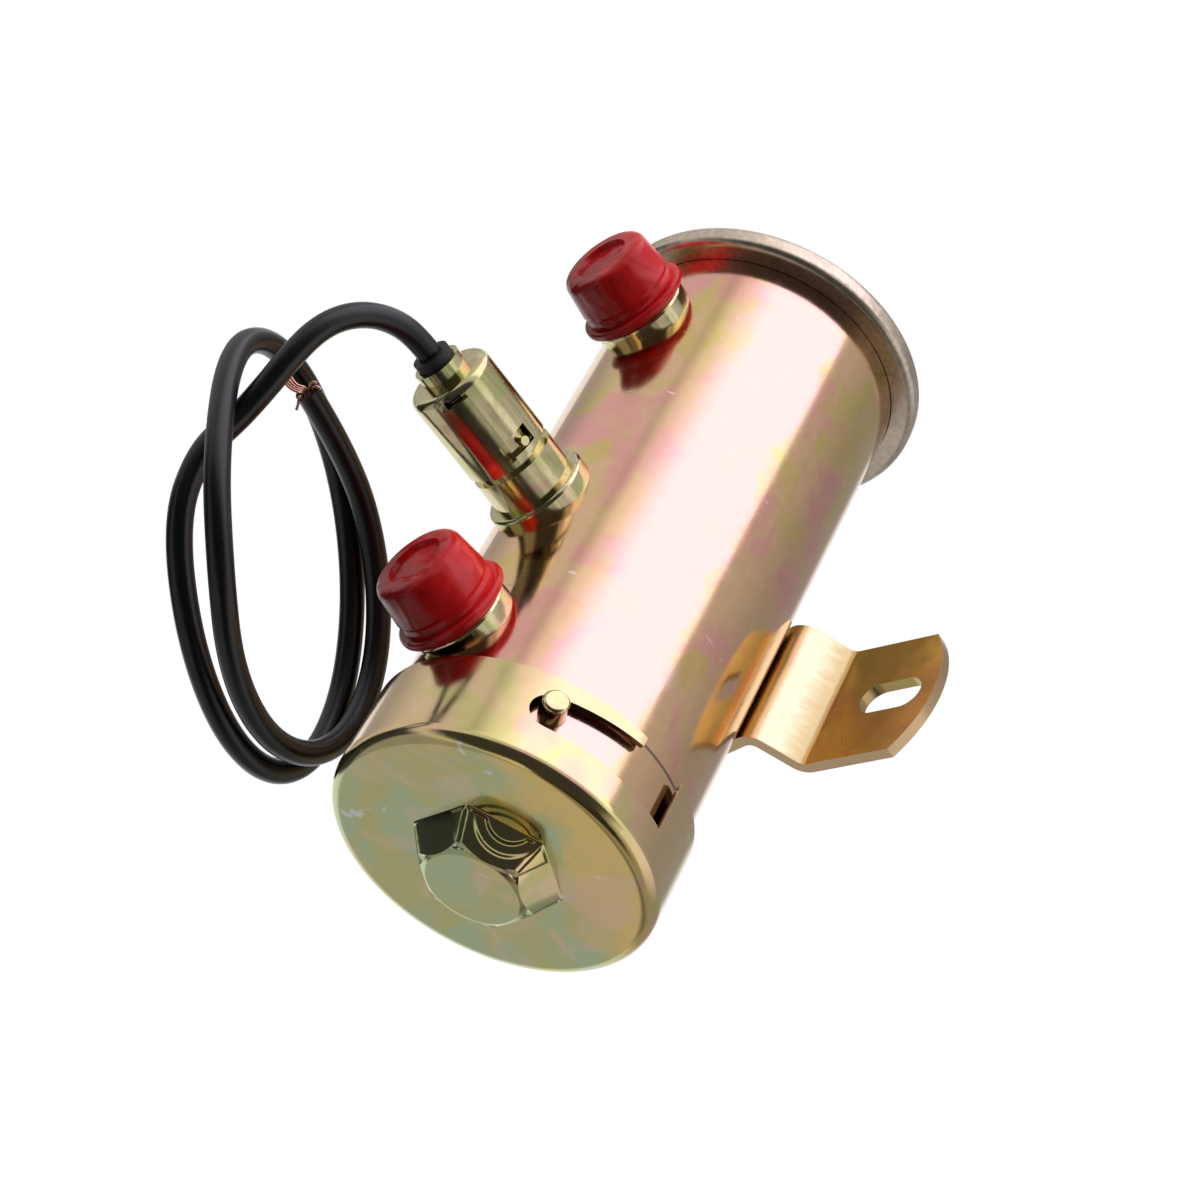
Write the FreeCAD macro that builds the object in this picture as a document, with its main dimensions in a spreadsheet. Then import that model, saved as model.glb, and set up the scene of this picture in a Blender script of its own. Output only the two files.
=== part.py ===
import FreeCAD, Part
import math
import os
import re

import Sketcher

# Electric fuel pump, cylindrical plunger type with a twist-off bottom cover. Millimetres.
# Row frame: X runs along the bracket's two feet, +Y points at the surface the pump is
# bolted to, and +Z runs up the pump's axis, from the bottom cover to the top cap.
# The origin is the middle of the bracket's two slots, on the face that meets the surface.
# Pieces round the pump's axis are drawn with z = 0 at the bottom cover's flat face.
# Pieces round a port or the plug are drawn with z as the distance from the pump's axis.

# Driving dimensions: name, value, what it is.
SIZES = (
    ("axis_offset", 34.5, "pump axis to the mounting surface"),
    ("bracket_height", 61.2, "bracket centre above the cover's flat face"),
    ("body_radius", 26.0, "outside of the drawn body"),
    ("body_wall", 1.2, "body sheet"),
    ("body_top", 120.4, "underside of the body's top flange"),
    ("body_bottom", 3.0, "face of the body's bottom lip"),
    ("lip_reach", 3.3, "body's bottom lip inside its wall"),
    ("flange_reach", 2.5, "body's top flange beyond the wall"),
    ("fit_gap", 0.05, "radial gap of a fitted piece"),
    ("rest_gap", 0.3, "gap between pieces that only lie close"),
    ("cap_roll", 1.7, "top cap's rolled rim beyond the flange"),
    ("cap_sheet", 1.0, "top cap's sheet"),
    ("rim_lip", 1.2, "rolled lip below the body's flange"),
    ("rim_height", 4.6, "rolled rim, bottom to top"),
    ("dome_set", 4.5, "raised dome of the top cap inside the body's face"),
    ("dome_rise", 2.0, "dome above the cap's ledge"),
    ("diaphragm_sheet", 0.8, "damper diaphragm"),
    ("cover_play", 0.8, "body to the bottom cover's skirt"),
    ("cover_sheet", 1.0, "cover sheet"),
    ("cover_height", 17.4, "skirt's rim above the flat face"),
    ("cover_corner", 2.8, "skirt's rounded corner"),
    ("boss_across", 26.5, "hexagon boss over its corners, at the face"),
    ("boss_tip_across", 19.0, "hexagon boss over its corners, at its tip"),
    ("boss_height", 6.0, "hexagon boss below the face"),
    ("boss_face", 8.0, "round face turned on the boss's tip"),
    ("boss_turn", -6.0, "turn of the boss's first corner, degrees"),
    ("slot_turn", -13.0, "middle of the bayonet slot, degrees from +X"),
    ("slot_low", 7.8, "lower edge of the bayonet slot"),
    ("slot_width", 6.2, "bayonet slot, along the axis, at the pin's seat"),
    ("slot_rise", 1.7, "climb of the slot's upper edge from seat to mouth"),
    ("seat_angle", -26.0, "pin's seat from the slot's middle, degrees"),
    ("mouth_start", 5.5, "slot's mouth begins, degrees from the slot's middle"),
    ("mouth_end", 26.5, "slot's mouth ends, degrees from the slot's middle"),
    ("pin_radius", 2.2, "bayonet pin"),
    ("pin_play", 0.1, "pin to the slot's upper edge"),
    ("pin_stand", 2.2, "bayonet pin beyond the skirt"),
    ("magnet_radius", 6.8, "magnet in the cover's boss"),
    ("magnet_height", 3.5, "magnet"),
    ("strap_width", 27.0, "bracket strap"),
    ("strap_sheet", 2.0, "bracket sheet"),
    ("saddle_angle", 11.5, "strap lies on the body to this angle, degrees"),
    ("strap_run", 9.5, "straight strap from the saddle to the first fold"),
    ("web_angle", 58.0, "web's slope from the foot, degrees"),
    ("foot_reach", 37.6, "foot's square corners from the middle"),
    ("foot_round", 22.5, "radius of the foot's rounded end"),
    ("bolt_reach", 32.8, "slot centre from the middle"),
    ("bolt_slot_width", 6.8, "bolt slot, across"),
    ("bolt_slot_length", 12.5, "bolt slot, end to end"),
    ("inlet_height", 27.9, "inlet above the cover's face"),
    ("outlet_height", 104.8, "outlet above the cover's face"),
    ("port_bore", 4.3, "radius of the threaded bore"),
    ("port_shank", 6.4, "fitting's shank in the body wall"),
    ("port_collar", 8.5, "fitting's collar"),
    ("collar_rise", 2.3, "collar's outer face above the body"),
    ("port_neck", 6.8, "fitting's neck under the plug"),
    ("port_reach", 10.2, "fitting's mouth above the body"),
    ("port_inset", 2.4, "fitting's inner end inside the body's face"),
    ("plug_flange", 9.8, "shipping plug's flange"),
    ("plug_flange_sheet", 1.7, "shipping plug's flange, thick"),
    ("plug_radius", 8.6, "shipping plug's wall, outside, at the flange"),
    ("plug_tip_radius", 7.9, "shipping plug's wall, outside, at its end"),
    ("plug_length", 10.8, "shipping plug"),
    ("plug_end_wall", 1.7, "shipping plug's closed end"),
    ("dimple_radius", 4.9, "hollow in the plug's end"),
    ("dimple_depth", 0.8, "hollow in the plug's end"),
    ("socket_height", 58.3, "lead socket above the cover's face"),
    ("socket_shank", 6.6, "socket's shank in the body wall"),
    ("socket_flange", 9.0, "socket's flange"),
    ("socket_flange_rise", 1.8, "socket flange's outer face above the body"),
    ("socket_neck", 7.3, "socket's neck"),
    ("socket_neck_rise", 8.0, "socket neck's outer end above the body"),
    ("socket_tube", 6.1, "socket's tube inside the shell"),
    ("socket_reach", 15.0, "socket tube's outer end above the body"),
    ("socket_bore", 4.9, "socket's bore"),
    ("stud_radius", 0.8, "bayonet stud on the socket's tube"),
    ("stud_rise", 11.5, "bayonet studs above the body"),
    ("stud_turn", -16.0, "bayonet studs, degrees round the socket from the row's X"),
    ("stud_tip", 7.25, "studs' ends from the socket's axis"),
    ("shell_radius", 7.4, "lead shell"),
    ("shell_wall", 0.8, "lead shell's sheet"),
    ("shell_low", 9.6, "shell's mouth above the body"),
    ("shoulder_rise", 26.2, "shell's shoulder above the body"),
    ("shell_rise", 29.0, "shell's collar ends, above the body"),
    ("shell_collar", 4.1, "shell's collar"),
    ("channel_radius", 8.4, "outside of the raised channel"),
    ("channel_angle", 36.0, "raised channel, degrees round the shell"),
    ("channel_rise", 24.2, "raised channel's open end above the body"),
    ("channel_turn", -58.0, "raised channel, degrees round the socket from the row's X"),
    ("notch_angle", 52.0, "stud's side notch from the channel's middle, degrees"),
    ("notch_rise", 10.6, "notch's edge nearest the pump, above the body"),
    ("notch_width", 3.3, "notch, along the socket's axis"),
    ("push_travel", 1.2, "shell pushes in by this"),
    ("insulator_rise", 20.0, "plug insulator's outer end above the body"),
    ("washer_sheet", 0.9, "thrust washer under the shell's shoulder"),
    ("plug_spring_wire", 0.8, "spring between the plug and the shell"),
    ("plug_spring_turns", 5.0, "spring between the plug and the shell"),
    ("contact_radius", 1.2, "plug's contact pin"),
    ("sleeve_radius", 3.25, "rubber sleeve on the lead"),
    ("sleeve_rise", 30.7, "sleeve's outer end above the body"),
    ("lead_radius", 2.1, "lead, over its insulation"),
    ("strand_length", 4.5, "bared copper"),
    ("tube_radius", 8.0, "plunger tube, outside"),
    ("tube_bore", 7.0, "plunger tube, inside"),
    ("tube_bottom", 12.0, "plunger tube's lower end"),
    ("tube_top", 106.0, "plunger tube's upper end"),
    ("bulkhead_sheet", 2.0, "bulkheads and pole plate"),
    ("coil_bottom", 38.0, "lower bulkhead's underside"),
    ("coil_length", 44.0, "coil bobbin"),
    ("coil_gap", 0.6, "bobbin's flanges to the feed wire"),
    ("bobbin_wall", 1.2, "bobbin's sheet"),
    ("winding_inset", 1.4, "outside of the winding inside the bobbin's flanges"),
    ("carrier_height", 5.0, "ring under the circuit board"),
    ("carrier_band", 4.0, "ring under the circuit board, across its band"),
    ("board_play", 2.8, "circuit board to the body's wall"),
    ("board_sheet", 1.6, "circuit board"),
    ("transistor_height", 3.2, "power transistor on the board"),
    ("feed_edge", 0.6, "feed wire inside the board's rim"),
    ("feed_radius", 0.8, "feed wire"),
    ("lid_gap", 0.2, "transistor to the upper bulkhead"),
    ("filter_radius", 18.5, "filter screen"),
    ("filter_wall", 0.8, "filter screen's wall"),
    ("filter_top", 26.0, "filter's collar on the tube"),
    ("clip_place", 13.0, "retainer clip's lower face"),
    ("clip_sheet", 1.5, "retainer clip and cup washer"),
    ("seal_section", 2.1, "seal ring's thickness"),
    ("cup_rim", 24.0, "inlet valve cup's rim"),
    ("valve_port", 2.0, "bores through both valves' seats"),
    ("disc_radius", 4.0, "valve discs"),
    ("disc_sheet", 0.8, "valve discs"),
    ("spring_wire", 1.1, "plunger spring's wire"),
    ("spring_radius", 5.7, "plunger spring's mean radius"),
    ("spring_turns", 7.0, "plunger spring's turns"),
    ("plunger_gap", 0.07, "plunger to tube, radial"),
    ("plunger_length", 40.0, "plunger"),
    ("bumper_height", 3.0, "rubber stop above the plunger"),
)

# Sums of the sizes above, so that pieces stay fitted when one of them changes.
FITTED = {
    "coil_radius": "feed_place - feed_radius - coil_gap",
    "winding_radius": "coil_radius - winding_inset",
    "port_root": "body_radius - port_inset",
    "port_collar_top": "body_radius + collar_rise",
    "port_tip": "body_radius + port_reach",
    "socket_flange_top": "body_radius + socket_flange_rise",
    "socket_neck_top": "body_radius + socket_neck_rise",
    "socket_tip": "body_radius + socket_reach",
    "stud_place": "body_radius + stud_rise",
    "shell_mouth": "body_radius + shell_low",
    "shell_shoulder": "body_radius + shoulder_rise",
    "shell_end": "body_radius + shell_rise",
    "channel_end": "body_radius + channel_rise",
    "notch_low": "body_radius + notch_rise",
    "insulator_top": "body_radius + insulator_rise",
    "sleeve_end": "body_radius + sleeve_rise",
    "dome_radius": "body_radius - dome_set",
    "lip_radius": "body_radius - body_wall - lip_reach",
    "gasket_inner": "lip_radius + rest_gap",
    "carrier_inner": "board_radius - carrier_band",
    "flange_radius": "body_radius + flange_reach",
    "cap_radius": "flange_radius + cap_roll",
    "cover_radius": "body_radius + cover_play + cover_sheet",
    "pin_reach": "cover_radius + pin_stand",
    "board_radius": "body_radius - body_wall - board_play",
    "feed_place": "board_radius - feed_edge",
    "coil_top": "coil_bottom + bulkhead_sheet + coil_length",
    "board_low": "coil_top + bulkhead_sheet + carrier_height",
    "board_top": "board_low + board_sheet",
    "dry_space_top": "board_top + transistor_height + lid_gap",
    "plunger_bottom": "coil_top - plunger_length",
}

# The lead's route as it hangs from its sleeve, in the row frame: a bend out and down.
LEAD_BEND = (
    (0.0, -95.0, -2.9),
    (-0.4, -99.2, -4.0),
    (-1.3, -103.2, -6.5),
    (-2.7, -106.2, -10.2),
    (-4.6, -107.7, -14.6),
    (-7.3, -107.5, -19.7),
    (-10.8, -106.4, -25.0),
    (-15.1, -105.4, -30.4),
    (-18.4, -105.9, -37.0),
)
# Then two loose oval turns, each in an upright plane beside the inlet: the plane's
# place, the oval's centre out from the mounting face and up, its half length and half
# width, and its lean from the upright in degrees.
TURN_AZIMUTH = 12.0
FIRST_TURN = (-41.9, 75.7, -34.4, 35.8, 22.1, 53.0)
SECOND_TURN = (-36.9, 75.8, -36.7, 32.1, 23.4, 67.0)
FIRST_ANGLE = 78.0
LAST_ANGLE = 678.0
STEPS_PER_TURN = 12
CHANGE_FROM = 365.0
CHANGE_TO = 425.0
# The second turn starts further out, where it hangs over the first bend.
SWELL = 7.1
SWELL_ANGLE = 425.0
SWELL_SPREAD = 45.0

ALIASES = {name for name, value, note in SIZES}

doc = FreeCAD.newDocument("fuel_pump")
sheet = doc.addObject("Spreadsheet::Sheet", "Sizes")
nodes = []


def fill_sheet():
    """Each driving dimension has a row: note, value and alias."""
    for row, (name, value, note) in enumerate(SIZES, start=1):
        sheet.set(f"A{row}", note)
        sheet.set(f"B{row}", str(value))
        sheet.setAlias(f"B{row}", name)
    doc.recompute()


def size(name):
    """A dimension's number: its cell's, or the sum that a fitted one stands for."""
    if name not in FITTED:
        return float(sheet.get(name))
    total = 0.0
    sign = 1
    for word in FITTED[name].split():
        if word in ("+", "-"):
            sign = 1 if word == "+" else -1
        else:
            total += sign * size(word)
    return total


def link(text):
    """The expression with its sheet names written in full and its fitted sums put in."""
    def full(match):
        word = match.group(0)
        if word in FITTED:
            return "(" + link(FITTED[word]) + ")"
        return "Sizes." + word if word in ALIASES else word
    return re.sub(r"[a-z_]+", full, text)


def origin_feature(body, role):
    """One of the body's own planes or axes."""
    for feature in body.Origin.OriginFeatures:
        if feature.Role == role:
            return feature
    raise ValueError(role)


def new_body(name, height=None, aim=None):
    """A sub-part. It stands on the pump's axis, or lies along a port's at a height."""
    body = doc.addObject("PartDesign::Body", name)
    body.Label = name
    body.setExpression("Placement.Base.y", link("-axis_offset"))
    if height is None:
        body.setExpression("Placement.Base.z", link("-bracket_height"))
    else:
        body.setExpression("Placement.Base.z", link(f"{height} - bracket_height"))
    if aim == "port":
        body.Placement.Rotation = FreeCAD.Rotation(FreeCAD.Vector(1, 0, 0), 90)
    nodes.append(body)
    return body


def new_sketch(body, name, role, shift=None):
    """A sketch on one of the body's own planes, moved along its normal by an expression."""
    sketch = body.newObject("Sketcher::SketchObject", name)
    sketch.AttachmentSupport = [(origin_feature(body, role), "")]
    sketch.MapMode = "FlatFace"
    if shift is not None:
        sketch.setExpression("AttachmentOffset.Base.z", link(shift))
    return sketch


def facing_sketch(body, name, angle):
    """A sketch on the body's axis, its normal at an angle round that axis from X."""
    sketch = new_sketch(body, name, "YZ_Plane")
    sketch.AttachmentOffset = FreeCAD.Placement(
        FreeCAD.Vector(), FreeCAD.Rotation(FreeCAD.Vector(0, 1, 0), 1)
    )
    sketch.setExpression("AttachmentOffset.Rotation.Angle", link(angle))
    return sketch


def pin_point(sketch, line, place, across, up, guess):
    """Ties a line's end to expressions for its two coordinates."""
    for kind, axis, text, number in (
        ("DistanceX", -2, across, guess.x),
        ("DistanceY", -1, up, guess.y),
    ):
        if text == "0":
            sketch.addConstraint(Sketcher.Constraint("PointOnObject", line, place, axis))
        else:
            spot = sketch.addConstraint(
                Sketcher.Constraint(kind, -1, 1, line, place, number)
            )
            sketch.setExpression(f"Constraints[{spot}]", link(text))


def draw_outline(sketch, corners):
    """A closed outline of straight lines whose corners are pairs of expressions."""
    count = len(corners)
    guesses = [
        FreeCAD.Vector(
            40 + 20 * math.cos(2 * math.pi * i / count),
            40 + 20 * math.sin(2 * math.pi * i / count),
            0,
        )
        for i in range(count)
    ]
    for i in range(count):
        sketch.addGeometry(Part.LineSegment(guesses[i], guesses[(i + 1) % count]))
    for i in range(count):
        following = (i + 1) % count
        sketch.addConstraint(Sketcher.Constraint("Coincident", i, 2, following, 1))
    for i, (across, up) in enumerate(corners):
        pin_point(sketch, i, 1, across, up, guesses[i])


def draw_circle(sketch, across, up, radius):
    """A circle whose centre and radius are expressions."""
    centre = FreeCAD.Vector(5, 5, 0)
    circle = sketch.addGeometry(Part.Circle(centre, FreeCAD.Vector(0, 0, 1), 2))
    pin_point(sketch, circle, 3, across, up, centre)
    spot = sketch.addConstraint(Sketcher.Constraint("Radius", circle, 2.0))
    sketch.setExpression(f"Constraints[{spot}]", link(radius))


def turned(body, name, corners, cut=False, arc=None, role="XZ_Plane"):
    """Turns an outline of radius and height pairs about the body's Z axis."""
    sketch = new_sketch(body, name + "_outline", role)
    draw_outline(sketch, corners)
    kind = "PartDesign::Groove" if cut else "PartDesign::Revolution"
    feature = body.newObject(kind, name)
    feature.Profile = sketch
    feature.ReferenceAxis = (sketch, ["V_Axis"])
    if arc is None:
        feature.Angle = 360
    else:
        feature.Midplane = True
        feature.setExpression("Angle", link(arc))
    return feature


def cut_through(body, sketch, name, length, both=False, outward=False):
    """Pockets a sketch for a length: inwards, outwards or both ways from its plane."""
    pocket = body.newObject("PartDesign::Pocket", name)
    pocket.Profile = sketch
    pocket.setExpression("Length", link(length))
    pocket.Midplane = both
    pocket.Reversed = outward
    return pocket


def ring_edges(shape, radius, height):
    """Names of the shape's full or part circles of a radius about Z at a height."""
    found = []
    for index, edge in enumerate(shape.Edges, start=1):
        curve = edge.Curve
        if not isinstance(curve, Part.Circle):
            continue
        centre = curve.Center
        on_axis = math.hypot(centre.x, centre.y) < 1e-4
        same = abs(curve.Radius - radius) < 1e-4 and abs(centre.z - height) < 1e-4
        if on_axis and same:
            found.append(f"Edge{index}")
    return found


def round_rings(body, name, radius, *rings):
    """Rounds circular edges, given as radius and height pairs, by an expression."""
    doc.recompute()
    base = body.Tip
    names = []
    for ring in rings:
        names += ring_edges(base.Shape, *ring)
    if len(names) < len(rings):
        raise ValueError(f"{name}: edges are missing")
    fillet = body.newObject("PartDesign::Fillet", name)
    fillet.Base = (base, names)
    fillet.setExpression("Radius", link(radius))
    return fillet


def ring_piece(name, inner, outer, low, high):
    """A plain ring or disc about the pump's axis."""
    body = new_body(name)
    if inner is None:
        inner = "0"
    corners = [(inner, low), (outer, low), (outer, high), (inner, high)]
    turned(body, name + "_ring", corners)
    return body


def make_housing():
    """Deep-drawn body: bottom lip, straight wall, top flange, and holes for what it holds."""
    body = new_body("housing")
    inside = "body_radius - body_wall"
    turned(body, "wall", [
        ("lip_radius", "body_bottom"),
        ("body_radius", "body_bottom"),
        ("body_radius", "body_top"),
        ("flange_radius", "body_top"),
        ("flange_radius", "body_top + body_wall"),
        (inside, "body_top + body_wall"),
        (inside, "body_bottom + body_wall"),
        ("lip_radius", "body_bottom + body_wall"),
    ])
    round_rings(body, "bottom_corner", "0.8 * body_wall",
                (size("body_radius"), size("body_bottom")))
    holes = new_sketch(body, "side_holes", "XZ_Plane")
    draw_circle(holes, "0", "inlet_height", "port_shank + fit_gap")
    draw_circle(holes, "0", "outlet_height", "port_shank + fit_gap")
    draw_circle(holes, "0", "socket_height", "socket_shank + fit_gap")
    cut_through(body, holes, "side_hole_cut", "body_radius + 5", outward=True)
    pins = facing_sketch(body, "pin_holes", "slot_turn + seat_angle")
    draw_circle(pins, "0", "slot_low + slot_width - pin_radius - pin_play", "pin_radius + fit_gap")
    cut_through(body, pins, "pin_hole_cut", "2 * body_radius + 10", both=True)


def make_top_cap():
    """Pressed cap: its rim is rolled under the body's flange, and its middle is domed."""
    body = new_body("top_cap")
    low = "body_top - rim_lip"
    ledge = "body_top + body_wall + diaphragm_sheet"
    wall = "flange_radius + 0.1"
    slope = "dome_radius + 2"
    turned(body, "pressing", [
        ("body_radius + 0.1", low),
        ("cap_radius", low),
        ("cap_radius", low + " + rim_height"),
        ("body_radius + 1.4", low + " + rim_height"),
        ("body_radius + 0.6", ledge + " + cap_sheet"),
        (slope, ledge + " + cap_sheet"),
        ("dome_radius", ledge + " + cap_sheet + dome_rise"),
        ("0", ledge + " + cap_sheet + 1.15 * dome_rise"),
        ("0", ledge + " + 1.15 * dome_rise"),
        ("dome_radius - 0.5 * cap_sheet", ledge + " + dome_rise"),
        (slope + " - 0.5 * cap_sheet", ledge),
        (wall, ledge),
        (wall, "body_top"),
        ("body_radius + 0.1", "body_top"),
    ])
    bottom = size("body_top") - size("rim_lip")
    round_rings(body, "rim_bottom", "1.2 * rim_lip", (size("cap_radius"), bottom))
    round_rings(body, "rim_top", "1.5 * rim_lip",
                (size("cap_radius"), bottom + size("rim_height")))


def make_diaphragm():
    """Rubber disc between the fuel and the air under the dome."""
    low = "body_top + body_wall"
    ring_piece("damper_diaphragm", None, "flange_radius", low, low + " + diaphragm_sheet")


def hexagon(body, name, corner_radius, height):
    """A hexagon across the axis, its corners on a circle."""
    sketch = new_sketch(body, name, "XY_Plane", shift=height)
    corners = []
    for corner in range(6):
        angle = f"boss_turn + {60 * corner}"
        corners.append((
            f"({corner_radius}) * cos({angle})",
            f"({corner_radius}) * sin({angle})",
        ))
    draw_outline(sketch, corners)
    return sketch


def loft(body, kind, name, first, second):
    """A straight loft from one sketch to another."""
    feature = body.newObject(kind, name)
    feature.Profile = first
    feature.Sections = [second]
    feature.Ruled = True
    return feature


def make_bottom_cover():
    """Twist-off cover: cup, hexagon boss for a wrench, and two bayonet slots in its skirt."""
    body = new_body("bottom_cover")
    inside = "cover_radius - cover_sheet"
    turned(body, "cup", [
        ("0", "0"),
        ("cover_radius", "0"),
        ("cover_radius", "cover_height"),
        (inside, "cover_height"),
        (inside, "cover_sheet"),
        ("0", "cover_sheet"),
    ])
    round_rings(body, "outer_corner", "cover_corner", (size("cover_radius"), 0.0))
    inner = size("cover_radius") - size("cover_sheet")
    round_rings(body, "inner_corner", "cover_corner - cover_sheet",
                (inner, size("cover_sheet")))
    base = hexagon(body, "boss_base", "boss_across / 2", "0")
    tip = hexagon(body, "boss_tip", "boss_tip_across / 2", "-boss_height")
    loft(body, "PartDesign::AdditiveLoft", "boss", base, tip)
    hollow = hexagon(body, "hollow_base", "boss_across / 2 - cover_sheet", "cover_sheet")
    floor = hexagon(body, "hollow_floor", "boss_tip_across / 2 - cover_sheet",
                    "cover_sheet - boss_height")
    loft(body, "PartDesign::SubtractiveLoft", "boss_hollow", hollow, floor)
    round_boss(body)
    upper = "slot_low + slot_width"
    seat = "cover_radius * sin(seat_angle)"
    mouth = "cover_radius * sin(mouth_start)"
    far = "cover_radius * sin(mouth_end)"
    slot = facing_sketch(body, "slot_outline", "slot_turn")
    draw_outline(slot, [
        (seat, "slot_low"),
        (far, "slot_low"),
        (far, "cover_height + 1"),
        (mouth, "cover_height + 1"),
        (mouth, upper + " + slot_rise"),
        (seat, upper),
    ])
    slot_cut = cut_through(body, slot, "slot_cut", "cover_radius + 2", outward=True)
    end = facing_sketch(body, "seat_outline", "slot_turn")
    draw_circle(end, seat, "slot_low + slot_width / 2", "slot_width / 2")
    end_cut = cut_through(body, end, "seat_cut", "cover_radius + 2", outward=True)
    doc.recompute()
    pattern = body.newObject("PartDesign::PolarPattern", "both_slots")
    pattern.Originals = [slot_cut, end_cut]
    pattern.Axis = (origin_feature(body, "Z_Axis"), [""])
    pattern.Angle = 360
    pattern.Occurrences = 2
    body.Tip = pattern


def round_boss(body):
    """Rounds the boss's six corners, turns its tip round and softens the tip's rim."""
    doc.recompute()
    shape = body.Tip.Shape
    tip = -size("boss_height")
    outer = size("boss_tip_across") / 2
    corners = []
    for index, edge in enumerate(shape.Edges, start=1):
        ends = sorted((v.Point for v in edge.Vertexes), key=lambda point: point.z)
        if len(ends) < 2:
            continue
        at_tip = abs(ends[0].z - tip) < 1e-3
        on_corner = abs(math.hypot(ends[0].x, ends[0].y) - outer) < 1e-3
        if at_tip and on_corner and ends[1].z > -1e-3:
            corners.append(f"Edge{index}")
    base = body.Tip
    fillet = body.newObject("PartDesign::Fillet", "boss_corners")
    fillet.Base = (base, corners)
    fillet.setExpression("Radius", link("1.6 * cover_sheet"))
    doc.recompute()
    turned(body, "tip_turning", [
        ("boss_face", "-boss_height"),
        ("boss_across / 2", "-boss_height + (boss_across / 2 - boss_face) * tan(30)"),
        ("boss_across / 2", "-boss_height - 1"),
        ("boss_face", "-boss_height - 1"),
    ], cut=True)
    doc.recompute()
    turning = body.Tip
    rim = []
    for index, edge in enumerate(turning.Shape.Edges, start=1):
        flat = edge.BoundBox.ZLength < 1e-4
        if flat and abs(edge.BoundBox.ZMin - tip) < 1e-3:
            rim.append(f"Edge{index}")
    edge_fillet = body.newObject("PartDesign::Fillet", "boss_rim")
    edge_fillet.Base = (turning, rim)
    edge_fillet.setExpression("Radius", link("0.7 * cover_sheet"))


def make_bayonet_pins():
    """Two round pins through the body wall, opposite each other."""
    body = new_body("bayonet_pins")
    body.AllowCompound = True
    sketch = new_sketch(body, "pin_outline", "YZ_Plane", shift="body_radius - body_wall - 1")
    height = "slot_low + slot_width - pin_radius - pin_play"
    draw_circle(sketch, "0", height, "pin_radius")
    pin = body.newObject("PartDesign::Pad", "pin")
    pin.Profile = sketch
    pin.setExpression("Length", link("pin_reach - body_radius + body_wall + 1"))
    doc.recompute()
    end = pin.Shape.BoundBox.XMax
    names = [
        f"Edge{i}" for i, edge in enumerate(pin.Shape.Edges, start=1)
        if abs(edge.BoundBox.XMin - end) < 1e-4
    ]
    dome = body.newObject("PartDesign::Fillet", "pin_end")
    dome.Base = (pin, names)
    dome.setExpression("Radius", link("0.3 * pin_radius"))
    doc.recompute()
    pattern = body.newObject("PartDesign::PolarPattern", "both_pins")
    pattern.Originals = [pin, dome]
    pattern.Axis = (origin_feature(body, "Z_Axis"), [""])
    pattern.Angle = 360
    pattern.Occurrences = 2
    body.Tip = pattern
    body.Placement.Rotation = FreeCAD.Rotation(FreeCAD.Vector(0, 0, 1), 1)
    body.setExpression("Placement.Rotation.Angle", link("slot_turn + seat_angle"))


def make_gasket():
    """Ring squeezed between the cover's face and the body's lip."""
    ring_piece("cover_gasket", "gasket_inner", "cover_radius - cover_corner - 0.1",
               "cover_sheet", "body_bottom")


def make_magnet():
    """Magnet that lies in the hollow of the cover's boss."""
    floor = "cover_sheet - boss_height"
    ring_piece("cover_magnet", None, "magnet_radius", floor, floor + " + magnet_height")


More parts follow.
